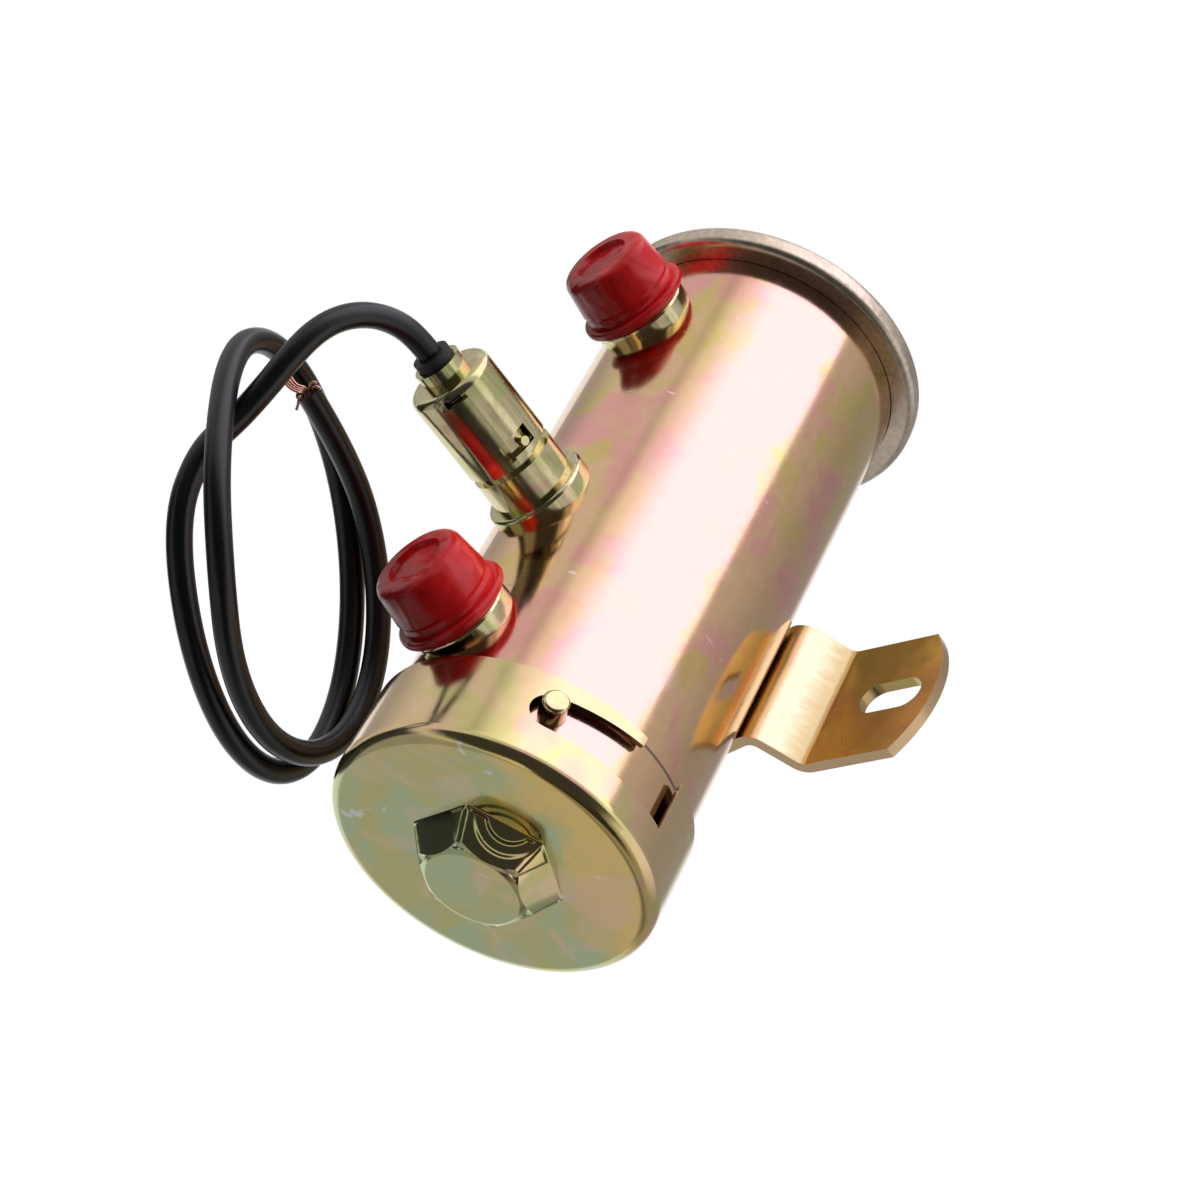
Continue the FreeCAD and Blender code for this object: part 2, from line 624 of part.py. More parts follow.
def make_bracket():
    """Strap bracket: a saddle on the body, two folds a side, and two slotted feet."""
    body = doc.addObject("PartDesign::Body", "mounting_bracket")
    body.Label = "mounting_bracket"
    body.setExpression("Placement.Base.y", link("-axis_offset"))
    nodes.append(body)
    inner = "(body_radius + fit_gap)"
    outer = "(body_radius + fit_gap + strap_sheet)"
    half = "strap_width / 2"
    turned(body, "saddle", [
        (inner, "-" + half),
        (outer, "-" + half),
        (outer, half),
        (inner, half),
    ], arc="2 * saddle_angle", role="YZ_Plane")
    front = "(axis_offset - strap_sheet)"
    fold_x = f"({inner} * sin(saddle_angle) + strap_run * cos(saddle_angle))"
    fold_y = f"({inner} * cos(saddle_angle) - strap_run * sin(saddle_angle))"
    toe_x = f"({fold_x} + ({front} - {fold_y}) / tan(web_angle))"
    first = "strap_sheet / (1 + cos(saddle_angle + web_angle))"
    second = "strap_sheet / (1 + cos(web_angle))"
    wing = new_sketch(body, "wing_outline", "XY_Plane")
    draw_outline(wing, [
        (f"{inner} * sin(saddle_angle)", f"{inner} * cos(saddle_angle)"),
        (fold_x, fold_y),
        (toe_x, front),
        ("foot_reach", front),
        ("foot_reach", "axis_offset"),
        (f"{toe_x} - {second} * sin(web_angle)", "axis_offset"),
        (f"{fold_x} + {first} * (sin(saddle_angle) - sin(web_angle))",
         f"{fold_y} + {first} * (cos(saddle_angle) + cos(web_angle))"),
        (f"{outer} * sin(saddle_angle)", f"{outer} * cos(saddle_angle)"),
    ])
    pad = body.newObject("PartDesign::Pad", "wing")
    pad.Profile = wing
    pad.Midplane = True
    pad.setExpression("Length", link("strap_width"))
    doc.recompute()
    toe = foot_end(body)
    slot = new_sketch(body, "slot_middle", "XZ_Plane")
    straight = "(bolt_slot_length - bolt_slot_width) / 2"
    low = f"bolt_reach - {straight}"
    high = f"bolt_reach + {straight}"
    draw_outline(slot, [
        (low, "-bolt_slot_width / 2"),
        (high, "-bolt_slot_width / 2"),
        (high, "bolt_slot_width / 2"),
        (low, "bolt_slot_width / 2"),
    ])
    middle_cut = cut_through(body, slot, "slot_middle_cut", "axis_offset + 1")
    ends = new_sketch(body, "slot_ends", "XZ_Plane")
    draw_circle(ends, low, "0", "bolt_slot_width / 2")
    draw_circle(ends, high, "0", "bolt_slot_width / 2")
    end_cut = cut_through(body, ends, "slot_end_cut", "axis_offset + 1")
    doc.recompute()
    mirror = body.newObject("PartDesign::Mirrored", "other_wing")
    mirror.Originals = [pad, toe, middle_cut, end_cut]
    mirror.MirrorPlane = (origin_feature(body, "YZ_Plane"), [""])
    body.Tip = mirror
    round_folds(body)


def foot_end(body):
    """The foot's rounded end: a segment of a disc past its square corners."""
    sketch = new_sketch(body, "toe_outline", "XZ_Plane")
    half = size("strap_width") / 2
    reach = size("foot_reach")
    radius = size("foot_round")
    middle = FreeCAD.Vector(reach - math.sqrt(radius ** 2 - half ** 2), 0, 0)
    low = FreeCAD.Vector(reach, -half, 0)
    high = FreeCAD.Vector(reach, half, 0)
    angle = math.asin(half / radius)
    circle = Part.Circle(middle, FreeCAD.Vector(0, 0, 1), radius)
    arc = sketch.addGeometry(Part.ArcOfCircle(circle, -angle, angle))
    chord = sketch.addGeometry(Part.LineSegment(high, low))
    sketch.addConstraint(Sketcher.Constraint("Coincident", arc, 2, chord, 1))
    sketch.addConstraint(Sketcher.Constraint("Coincident", arc, 1, chord, 2))
    pin_point(sketch, chord, 1, "foot_reach", "strap_width / 2", high)
    pin_point(sketch, chord, 2, "foot_reach", "-strap_width / 2", low)
    spot = sketch.addConstraint(Sketcher.Constraint("Radius", arc, radius))
    sketch.setExpression(f"Constraints[{spot}]", link("foot_round"))
    sketch.setExpression("AttachmentOffset.Base.z", link("-(axis_offset - strap_sheet)"))
    toe = body.newObject("PartDesign::Pad", "toe")
    toe.Profile = sketch
    toe.Reversed = True
    toe.setExpression("Length", link("strap_sheet"))
    return toe


def fold_corners():
    """The folds' four corners on one side: those inside a fold, and those outside it."""
    inner = size("body_radius") + size("fit_gap")
    thick = size("strap_sheet")
    lean = math.radians(size("saddle_angle"))
    slope = math.radians(size("web_angle"))
    run = size("strap_run")
    front = size("axis_offset") - thick
    fold_x = inner * math.sin(lean) + run * math.cos(lean)
    fold_y = inner * math.cos(lean) - run * math.sin(lean)
    toe_x = fold_x + (front - fold_y) / math.tan(slope)
    first = thick / (1 + math.cos(lean + slope))
    second = thick / (1 + math.cos(slope))
    behind = (
        fold_x + first * (math.sin(lean) - math.sin(slope)),
        fold_y + first * (math.cos(lean) + math.cos(slope)),
    )
    back = (toe_x - second * math.sin(slope), front + thick)
    return (behind, (toe_x, front)), ((fold_x, fold_y), back)


def round_folds(body):
    """Bend radii: the sheet's thickness inside a fold, and twice that outside it."""
    for name, corners, factor in zip(("inside", "outside"), fold_corners(), (1, 2)):
        doc.recompute()
        base = body.Tip
        names = []
        for index, edge in enumerate(base.Shape.Edges, start=1):
            box = edge.BoundBox
            if max(box.XLength, box.YLength) > 1e-3:
                continue
            for x, y in corners:
                if math.hypot(abs(box.Center.x) - x, box.Center.y - y) < 1e-3:
                    names.append(f"Edge{index}")
        if len(names) != 4:
            raise ValueError(f"folds, {name}: {len(names)} edges")
        fillet = body.newObject("PartDesign::Fillet", "folds_" + name)
        fillet.Base = (base, names)
        fillet.setExpression("Radius", link(f"{factor} * strap_sheet"))


def make_fitting(name, height):
    """Threaded fitting: shank through the wall, collar saddled to the body, open neck."""
    body = new_body(name, height, aim="port")
    turned(body, "outside", [
        ("port_bore", "port_root"),
        ("port_collar", "port_root"),
        ("port_collar", "port_collar_top"),
        ("port_neck", "port_collar_top"),
        ("port_neck", "port_tip"),
        ("port_bore", "port_tip"),
    ])
    saddle_base(body)
    turned(body, "shank", [
        ("port_bore", "port_root"),
        ("port_shank", "port_root"),
        ("port_shank", "port_collar_top"),
        ("port_bore", "port_collar_top"),
    ])
    round_rings(body, "collar_edge", "0.1 * port_collar",
                (size("port_collar"), size("port_collar_top")))
    doc.recompute()
    base = body.Tip
    rim = ring_edges(base.Shape, size("port_neck"), size("port_tip"))
    chamfer = body.newObject("PartDesign::Chamfer", "mouth")
    chamfer.Base = (base, rim)
    chamfer.setExpression("Size", link("0.1 * port_neck"))


def saddle_base(body):
    """Cuts the underside of a collar to the body's round."""
    saddle = new_sketch(body, "saddle", "XZ_Plane")
    draw_circle(saddle, "0", "0", "body_radius")
    cut_through(body, saddle, "saddle_cut", "2 * body_radius", both=True)


def make_plug(name, height):
    """Soft shipping plug pushed over a fitting's neck."""
    body = new_body(name, height, aim="port")
    low = "port_collar_top + rest_gap"
    end = f"{low} + plug_length"
    inside = "port_neck + fit_gap"
    ledge = f"{low} + plug_flange_sheet"
    turned(body, "cup", [
        (inside, low),
        ("plug_flange", low),
        ("plug_flange", ledge),
        ("plug_radius", ledge),
        ("plug_radius", ledge + " + 0.8"),
        ("plug_radius - 0.25", ledge + " + 1.5"),
        ("plug_radius", ledge + " + 2.2"),
        ("plug_tip_radius", end),
        ("dimple_radius", end),
        ("dimple_radius - 0.3", end + " - dimple_depth"),
        ("0", end + " - dimple_depth"),
        ("0", end + " - dimple_depth - plug_end_wall"),
        (inside, end + " - dimple_depth - plug_end_wall"),
    ])
    start = size("port_collar_top") + size("rest_gap")
    tip = start + size("plug_length")
    round_rings(body, "flange_edge", "0.4 * plug_flange_sheet",
                (size("plug_flange"), start),
                (size("plug_flange"), start + size("plug_flange_sheet")))
    round_rings(body, "end_edge", "plug_end_wall", (size("plug_tip_radius"), tip))


def make_socket():
    """Lead socket: flange on the body, neck, and a bored tube with two bayonet studs."""
    body = new_body("connector_socket", "socket_height", aim="port")
    turned(body, "outside", [
        ("socket_bore", "port_root"),
        ("socket_flange", "port_root"),
        ("socket_flange", "socket_flange_top"),
        ("socket_neck", "socket_flange_top"),
        ("socket_neck", "socket_neck_top"),
        ("socket_tube", "socket_neck_top"),
        ("socket_tube", "socket_tip"),
        ("socket_bore", "socket_tip"),
    ])
    saddle_base(body)
    turned(body, "shank", [
        ("socket_bore", "port_root"),
        ("socket_shank", "port_root"),
        ("socket_shank", "socket_flange_top"),
        ("socket_bore", "socket_flange_top"),
    ])
    studs = facing_sketch(body, "studs", "stud_turn")
    draw_circle(studs, "0", "stud_place", "stud_radius")
    pad = body.newObject("PartDesign::Pad", "stud_bar")
    pad.Profile = studs
    pad.Midplane = True
    pad.setExpression("Length", link("2 * stud_tip"))
    turned(body, "bore", [
        ("0", "port_root - 1"),
        ("socket_bore", "port_root - 1"),
        ("socket_bore", "socket_tip + 1"),
        ("0", "socket_tip + 1"),
    ], cut=True)
    round_rings(body, "flange_edge", "0.08 * socket_flange",
                (size("socket_flange"), size("socket_flange_top")))


def make_shell():
    """Drawn shell over the plug: two raised channels let the studs in, each with a notch."""
    body = new_body("connector_shell", "socket_height", aim="port")
    inside = "shell_radius - shell_wall"
    top = "shell_shoulder - shell_wall"
    turned(body, "cup", [
        (inside, "shell_mouth"),
        ("shell_radius", "shell_mouth"),
        ("shell_radius", "shell_shoulder"),
        ("shell_collar", "shell_shoulder"),
        ("shell_collar", "shell_end"),
        ("sleeve_radius + 0.1", "shell_end"),
        ("sleeve_radius + 0.1", top),
        (inside, top),
    ])
    round_rings(body, "shoulder_edge", "1.8 * shell_wall",
                (size("shell_radius"), size("shell_shoulder")))
    channel = turned(body, "channel", [
        (inside + " + 0.1", "shell_mouth"),
        ("channel_radius", "shell_mouth"),
        ("channel_radius", "channel_end"),
        (inside + " + 0.1", "channel_end"),
    ], arc="channel_angle", role="YZ_Plane")
    groove = turned(body, "channel_groove", [
        (inside + " - 0.2", "shell_mouth - 1"),
        ("channel_radius - shell_wall", "shell_mouth - 1"),
        ("channel_radius - shell_wall", "shell_shoulder - 1.2 * shell_wall"),
        (inside + " - 0.2", "shell_shoulder - 1.2 * shell_wall"),
    ], cut=True, arc="channel_angle - 12", role="YZ_Plane")
    notch = facing_sketch(body, "notch_outline", "90 + (notch_angle + 8) / 2")
    reach = "channel_radius * sin((notch_angle - 8) / 2)"
    draw_outline(notch, [
        ("-" + reach, "notch_low"),
        (reach, "notch_low"),
        (reach, "notch_low + notch_width"),
        ("-" + reach, "notch_low + notch_width"),
    ])
    notch_cut = cut_through(body, notch, "notch_cut", "channel_radius + 1", outward=True)
    doc.recompute()
    pattern = body.newObject("PartDesign::PolarPattern", "both_channels")
    pattern.Originals = [channel, groove, notch_cut]
    pattern.Axis = (origin_feature(body, "Z_Axis"), [""])
    pattern.Angle = 360
    pattern.Occurrences = 2
    body.Tip = pattern
    facing = FreeCAD.Rotation(FreeCAD.Vector(0, 0, 1), size("channel_turn") - 90)
    body.Placement.Rotation = FreeCAD.Rotation(FreeCAD.Vector(1, 0, 0), 90) * facing


def port_ring(name, inner, outer, low, high):
    """A plain ring or pin on the lead socket's axis."""
    body = new_body(name, "socket_height", aim="port")
    if inner is None:
        inner = "0"
    corners = [(inner, low), (outer, low), (outer, high), (inner, high)]
    turned(body, name + "_ring", corners)
    return body


def make_connection():
    """What the lead's shell holds together: insulators, contacts, spring, washer, sleeve."""
    tube = "contact_radius + fit_gap"
    port_ring("socket_insulator", "contact_radius + 1", "socket_bore - fit_gap",
              "port_root", "port_root + 7")
    port_ring("socket_contact", tube, "contact_radius + 1 - fit_gap",
              "feed_place + feed_radius", "port_root + 6.5")
    body = new_body("plug_insulator", "socket_height", aim="port")
    turned(body, "outside", [
        (tube, "port_root + 7.5"),
        ("socket_bore - fit_gap", "port_root + 7.5"),
        ("socket_bore - fit_gap", "socket_tip"),
        ("socket_tube + 0.2", "socket_tip"),
        ("socket_tube + 0.2", "socket_tip + 1.5"),
        ("socket_bore - fit_gap", "socket_tip + 1.5"),
        ("socket_bore - fit_gap", "insulator_top"),
        (tube, "insulator_top"),
    ])
    port_ring("plug_contact", None, "contact_radius",
              "port_root + 2.4", "insulator_top + 1")
    top = "shell_shoulder - shell_wall"
    port_ring("thrust_washer", "sleeve_radius + rest_gap",
              "shell_radius - shell_wall - 0.15", top + " - washer_sheet", top)
    body = new_body("lead_sleeve", "socket_height", aim="port")
    turned(body, "outside", [
        (tube, "insulator_top"),
        ("socket_bore - 0.6", "insulator_top"),
        ("socket_bore - 0.6", "insulator_top + 1.6"),
        ("sleeve_radius", "insulator_top + 2.2"),
        ("sleeve_radius", "sleeve_end"),
        (tube, "sleeve_end"),
    ])
    port_ring("lead_core", None, "contact_radius", "insulator_top + 1", "sleeve_end")


def make_inner_parts():
    """The dry and wet works: filter, plunger tube, solenoid, board and bulkheads."""
    bore = "tube_radius + fit_gap"
    wall = "body_radius - body_wall - fit_gap"
    pole = "coil_top"
    body = new_body("filter_screen")
    turned(body, "screen", [
        ("filter_radius - filter_wall", "cover_sheet + rest_gap"),
        ("filter_radius", "cover_sheet + rest_gap"),
        ("filter_radius", "filter_top"),
        (bore, "filter_top"),
        (bore, "filter_top - filter_wall"),
        ("filter_radius - filter_wall", "filter_top - filter_wall"),
    ])
    ring_piece("plunger_tube", "tube_bore", "tube_radius", "tube_bottom", "tube_top")
    ring_piece("lower_bulkhead", bore, wall, "coil_bottom", "coil_bottom + bulkhead_sheet")
    body = new_body("coil_bobbin")
    low = "coil_bottom + bulkhead_sheet"
    turned(body, "spool", [
        (bore, low),
        ("coil_radius", low),
        ("coil_radius", low + " + bobbin_wall"),
        ("tube_radius + bobbin_wall", low + " + bobbin_wall"),
        ("tube_radius + bobbin_wall", pole + " - bobbin_wall"),
        ("coil_radius", pole + " - bobbin_wall"),
        ("coil_radius", pole),
        (bore, pole),
    ])
    ring_piece("coil_winding", "tube_radius + bobbin_wall + fit_gap", "winding_radius",
               low + " + bobbin_wall", pole + " - bobbin_wall")
    body = ring_piece("upper_pole", bore, wall, pole, pole + " + bulkhead_sheet")
    wire_hole(body)
    ring = pole + " + bulkhead_sheet"
    board = "board_low"
    body = ring_piece("board_carrier", "carrier_inner", "board_radius", ring, board)
    wire_hole(body)
    ring_piece("circuit_board", "tube_radius + 0.4", "board_radius",
               board, board + " + board_sheet")
    make_transistor(board + " + board_sheet")
    ring_piece("upper_bulkhead", bore, wall, "dry_space_top",
               "dry_space_top + bulkhead_sheet")
    wire = new_body("feed_wire")
    sketch = new_sketch(wire, "wire_section", "XY_Plane", shift="socket_height - 1")
    draw_circle(sketch, "0", "-feed_place", "feed_radius")
    pad = wire.newObject("PartDesign::Pad", "wire")
    pad.Profile = sketch
    pad.setExpression("Length", link(board + " - socket_height + 1"))


def wire_hole(body):
    """A hole for the feed wire, along the pump's axis."""
    sketch = new_sketch(body, "wire_hole", "XY_Plane")
    draw_circle(sketch, "0", "-feed_place", "feed_radius + 0.4")
    cut_through(body, sketch, "wire_hole_cut", "4 * tube_top", both=True)


def make_transistor(seat):
    """The power transistor that switches the coil, flat on the board."""
    body = new_body("transistor")
    sketch = new_sketch(body, "case_outline", "XY_Plane", shift=seat)
    middle = "(tube_radius + board_radius) / 2"
    draw_outline(sketch, [
        ("-5.5", middle + " - 4"),
        ("5.5", middle + " - 4"),
        ("5.5", middle + " + 4"),
        ("-5.5", middle + " + 4"),
    ])
    pad = body.newObject("PartDesign::Pad", "case")
    pad.Profile = sketch
    pad.setExpression("Length", link("transistor_height"))


def make_pumping_parts():
    """In the tube, from the inlet up: clip, washer, seal, valve, spring, plunger, stop."""
    bore = "tube_bore - fit_gap"
    washer = "clip_place + clip_sheet"
    seal = "clip_place + 2 * clip_sheet"
    seat = seal + " + seal_section + 2"
    ring_piece("retainer_clip", "tube_bore - 2.5", bore, "clip_place", washer)
    ring_piece("cup_washer", "tube_bore - 3", bore, washer, seal)
    ring_piece("valve_seal", "tube_bore - seal_section - fit_gap", bore,
               seal, seal + " + seal_section")
    body = new_body("inlet_valve_body")
    turned(body, "valve_cup", [
        ("valve_port", seal),
        ("tube_bore - seal_section - 2 * fit_gap", seal),
        ("tube_bore - seal_section - 2 * fit_gap", seal + " + seal_section"),
        ("tube_bore - 2 * fit_gap", seal + " + seal_section"),
        ("tube_bore - 2 * fit_gap", "cup_rim"),
        ("tube_bore - 1.5", "cup_rim"),
        ("tube_bore - 1.5", seat),
        ("valve_port", seat),
    ])
    ring_piece("inlet_valve_disc", None, "disc_radius", seat, seat + " + disc_sheet")
    ring_piece("inlet_valve_cage", "disc_radius - 0.8", "tube_bore - 1.5 - fit_gap",
               "cup_rim - 1.5", "cup_rim - 0.7")
    body = new_body("plunger")
    outside = "tube_bore - plunger_gap"
    top = "plunger_bottom + plunger_length"
    turned(body, "sleeve", [
        ("tube_bore / 2", "plunger_bottom"),
        (outside, "plunger_bottom"),
        (outside, top),
        ("tube_bore - 2", top),
        ("tube_bore - 2", top + " - 6"),
        ("valve_port", top + " - 6"),
        ("valve_port", top + " - 10"),
        ("tube_bore / 2", top + " - 10"),
    ])
    ring_piece("plunger_valve_disc", None, "disc_radius", top + " - 6",
               top + " - 6 + disc_sheet")
    ring_piece("plunger_valve_cage", "disc_radius - 0.8", "tube_bore - 2 - fit_gap",
               top + " - 3", top + " - 2")
    ring_piece("plunger_bumper", "tube_bore - 2.5", bore, top + " + rest_gap",
               top + " + rest_gap + bumper_height")


def spring_shape(radius, wire, turns, low, high):
    """A round-wire coil spring on Z between two heights, from quarter-turn arcs."""
    start = low + wire / 2
    pitch = (high - low - wire) / turns

    def place(turn):
        angle = 2 * math.pi * turn
        return FreeCAD.Vector(
            radius * math.cos(angle), radius * math.sin(angle), start + pitch * turn
        )

    arcs = []
    for quarter in range(int(round(4 * turns))):
        begin = quarter / 4
        arc = Part.Arc(place(begin), place(begin + 0.125), place(begin + 0.25))
        arcs.append(arc.toShape())
    path = Part.Wire(arcs)
    heading = arcs[0].tangentAt(arcs[0].FirstParameter)
    section = Part.Wire([Part.makeCircle(wire / 2, place(0), heading)])
    return path.makePipeShell([section], True, False)


def add_shape(name, shape, height=None, aim=None):
    """A sub-part that is a swept shape, placed like the bodies."""
    feature = doc.addObject("Part::Feature", name)
    feature.Label = name
    feature.Shape = shape
    if height is not None:
        lift = size(height) if height != "axis" else 0.0
        base = FreeCAD.Vector(0, -size("axis_offset"), lift - size("bracket_height"))
        turn = FreeCAD.Rotation(FreeCAD.Vector(1, 0, 0), 90 if aim == "port" else 0)
        feature.Placement = FreeCAD.Placement(base, turn)
    nodes.append(feature)
    return feature


def make_springs():
    """The plunger's return spring, and the spring that holds the lead's shell out."""
    add_shape("plunger_spring", spring_shape(
        size("spring_radius"), size("spring_wire"), size("spring_turns"),
        size("cup_rim"), size("plunger_bottom"),
    ), "axis")
    wire = size("plug_spring_wire")
    top = size("shell_shoulder") - size("shell_wall") - size("washer_sheet")
    add_shape("connector_spring", spring_shape(
        size("socket_bore") + wire / 2 + 0.2, wire, size("plug_spring_turns"),
        size("socket_tip") + 1.5, top,
    ), "socket_height", aim="port")


def blend(value, start, end):
    """0 before the start, 1 after the end, and a smooth step between."""
    part = min(max((value - start) / (end - start), 0.0), 1.0)
    return part * part * (3 - 2 * part)


def lead_route():
    """The lead's points: out of the sleeve, round the first bend, and two loose turns."""
    start = FreeCAD.Vector(
        0, -size("axis_offset") - size("sleeve_end"),
        size("socket_height") - size("bracket_height"),
    )
    points = [start]
    points += [FreeCAD.Vector(*point) for point in LEAD_BEND]
    step = 360.0 / STEPS_PER_TURN
    count = int(round((LAST_ANGLE - FIRST_ANGLE) / step))
    facing = math.radians(TURN_AZIMUTH)
    for i in range(count + 1):
        angle = FIRST_ANGLE + (LAST_ANGLE - FIRST_ANGLE) * i / count
        part = blend(angle, CHANGE_FROM, CHANGE_TO)
        place, middle, height, long, wide, lean = (
            one + (two - one) * part for one, two in zip(FIRST_TURN, SECOND_TURN)
        )
        place += SWELL * math.exp(-((angle - SWELL_ANGLE) / SWELL_SPREAD) ** 2)
        along = long * math.cos(math.radians(angle))
        across = wide * math.sin(math.radians(angle))
        lean = math.radians(lean)
        out = middle + along * math.sin(lean) + across * math.cos(lean)
        up = height + along * math.cos(lean) - across * math.sin(lean)
        points.append(FreeCAD.Vector(
            place * math.cos(facing) + out * math.sin(facing),
            place * math.sin(facing) - out * math.cos(facing),
            up,
        ))
    return points


def bend_tube(points, radius):
    """A round tube along straight runs joined by tangent arcs, its radii and its length."""
    edges = []
    radii = []
    length = 0.0
    last = points[0]
    for before, corner, after in zip(points, points[1:], points[2:]):
        back = before - corner
        ahead = after - corner
        trim = 0.45 * min(back.Length, ahead.Length)
        turn = math.pi - back.getAngle(ahead)
        bend = trim / math.tan(turn / 2)
        radii.append(bend)
        back.normalize()
        ahead.normalize()
        begin = corner + back * trim
        end = corner + ahead * trim
        inward = back + ahead
        inward.normalize()
        middle = corner + inward * (bend / math.cos(turn / 2) - bend)
        edges.append(Part.LineSegment(last, begin).toShape())
        edges.append(Part.Arc(begin, middle, end).toShape())
        length += (begin - last).Length + bend * turn
        last = end
    edges.append(Part.LineSegment(last, points[-1]).toShape())
    length += (points[-1] - last).Length
    heading = points[1] - points[0]
    section = Part.Wire([Part.makeCircle(radius, points[0], heading)])
    tube = Part.Wire(edges).makePipeShell([section], True, False)
    return tube, radii, length, Part.Wire(edges)


def own_gap(path, radius):
    """Least gap between parts of the tube that are far apart along it."""
    spots = path.discretize(Distance=1.5)
    least = 1e9
    for i, one in enumerate(spots):
        for j in range(i + 14, len(spots)):
            least = min(least, one.distanceToPoint(spots[j]))
    return least - 2 * radius


def make_lead():
    """The feed lead, hung in two loose turns, and the copper bared at its end."""
    points = lead_route()
    radius = size("lead_radius")
    tube, radii, length, path = bend_tube(points, radius)
    add_shape("lead_wire", tube)
    ratio = tube.Volume / (math.pi * radius ** 2 * length)
    print(f"lead {length:.0f} mm long, tightest bend {min(radii):.1f} mm")
    print(f"lead volume over section by length {ratio:.4f}")
    print(f"lead to itself {own_gap(path, radius):.2f} mm")
    heading = points[-1] - points[-2]
    heading.normalize()
    add_shape("lead_strands", Part.makeCylinder(
        0.7 * radius, size("strand_length"), points[-1], heading
    ))


def main():
    """Builds every sub-part, checks them and writes them."""
    fill_sheet()
    make_housing()
    make_top_cap()
    make_diaphragm()
    make_bottom_cover()
    make_bayonet_pins()
    make_gasket()
    make_magnet()
    make_bracket()
    make_fitting("inlet_fitting", "inlet_height")
    make_fitting("outlet_fitting", "outlet_height")
    make_plug("inlet_plug", "inlet_height")
    make_plug("outlet_plug", "outlet_height")
    make_socket()
    make_shell()
    make_connection()
    make_inner_parts()
    make_pumping_parts()
    make_springs()
    make_lead()
    doc.recompute()
    for item in doc.Objects:
        if "Invalid" in item.State or "Error" in item.State:
            raise RuntimeError(f"{item.Name}: {item.State}")
    os.makedirs("parts", exist_ok=True)
    for node in nodes:
        shape = node.Shape
        if shape.isNull() or not shape.isValid() or not shape.Solids:
            raise RuntimeError(f"{node.Label}: not a sound solid")
        box = shape.BoundBox
        low = [round(value, 1) for value in (box.XMin, box.YMin, box.ZMin)]
        high = [round(value, 1) for value in (box.XMax, box.YMax, box.ZMax)]
        print(node.Label, len(shape.Solids), round(shape.Volume, 1), low, high)
        shape.exportStep(f"parts/{node.Label}.step")


main()
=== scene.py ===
import math

import bpy
from mathutils import Matrix, Vector


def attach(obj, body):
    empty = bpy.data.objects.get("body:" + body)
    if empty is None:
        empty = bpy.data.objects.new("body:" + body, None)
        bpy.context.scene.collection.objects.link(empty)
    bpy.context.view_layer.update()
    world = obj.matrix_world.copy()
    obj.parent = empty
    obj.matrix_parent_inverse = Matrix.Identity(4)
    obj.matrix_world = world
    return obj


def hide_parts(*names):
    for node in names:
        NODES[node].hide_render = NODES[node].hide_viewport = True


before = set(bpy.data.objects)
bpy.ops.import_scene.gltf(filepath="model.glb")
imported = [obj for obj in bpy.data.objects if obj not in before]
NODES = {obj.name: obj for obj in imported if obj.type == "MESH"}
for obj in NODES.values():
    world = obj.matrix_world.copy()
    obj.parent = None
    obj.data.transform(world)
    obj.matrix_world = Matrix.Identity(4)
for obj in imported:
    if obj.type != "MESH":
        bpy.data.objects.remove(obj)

bl_info = {
    "name": "Electric fuel pump",
    "version": (1, 0, 0),
    "blender": (4, 5, 0),
    "location": "View3D > Sidebar > Pump",
    "description": "Dresses the packed fuel pump and sets its studio",
    "category": "Object",
}

MM = 0.001
DEGREES = 180 / math.pi

# Places and sizes in the row frame, in millimetres, and turns in degrees from +X.
AXIS_Y = -34.5          # the pump's axis
FACE_Z = -61.2          # the bottom cover's flat face
BODY_RADIUS = 26.0
BODY_TOP = 59.2         # the underside of the body's top flange
COVER_RADIUS = 27.8
SKIRT_TOP = -43.8       # the rim of the cover's skirt
BOSS_TURN = -6.0        # a corner of the cover's hexagon boss
BOSS_FLAT = BOSS_TURN - 30.0    # the flat beside it, which shows pressed rings
RIDGE_REACH = 2.4       # how far the boss's corners look rounded, to each side
RING_SIDE = 0.6         # the rings' centre, beside the flat's middle
RING_RISE = 2.1         # and above the cover's face
SOCKET_Z = -2.9         # the lead connector's axis
SHELL_MOUTH = -70.1     # the end of the connector's shell nearest the body
STRAP_HALF = 13.5       # half the bracket's width
FOOT_MIDDLE = 19.6      # the middle of the arc that ends each foot
FOOT_RADIUS = 22.5      # that arc's radius

# The middle of the outlet plug's shading, and the spacing at which it repeats for the inlet.
PLUG_HEIGHT = 43.0
PLUG_SPACING = 76.4

# Each band below starts, is full, begins to fade and ends. On the body, azimuths in degrees:
# where a paler pink is painted as the wide light's highlight, and where patches are fainter under
# it.
PAINTED_HIGHLIGHT_BAND = (-56.0, -42.0, -14.0, -8.0)
HIGHLIGHT_CALM_BAND = (-46.0, -38.0, -12.0, -6.0)
# A darker band beside the connector's channel, in degrees about the connector's axis.
CHANNEL_DARK_BAND = (-82.0, -75.0, -61.0, -56.0)
# The bracket's webs, which carry a painted highlight, and its crinkled folds, in millimetres to each
# side of its middle.
WEB_HIGHLIGHT_BAND = (13.0, 14.6, 19.6, 21.3)
FOLD_BAND = (15.4, 17.0, 19.2, 20.6)

# The studio's floor, in metres.
FLOOR_LEVEL = -0.62
FLOOR_HALF = 3.0

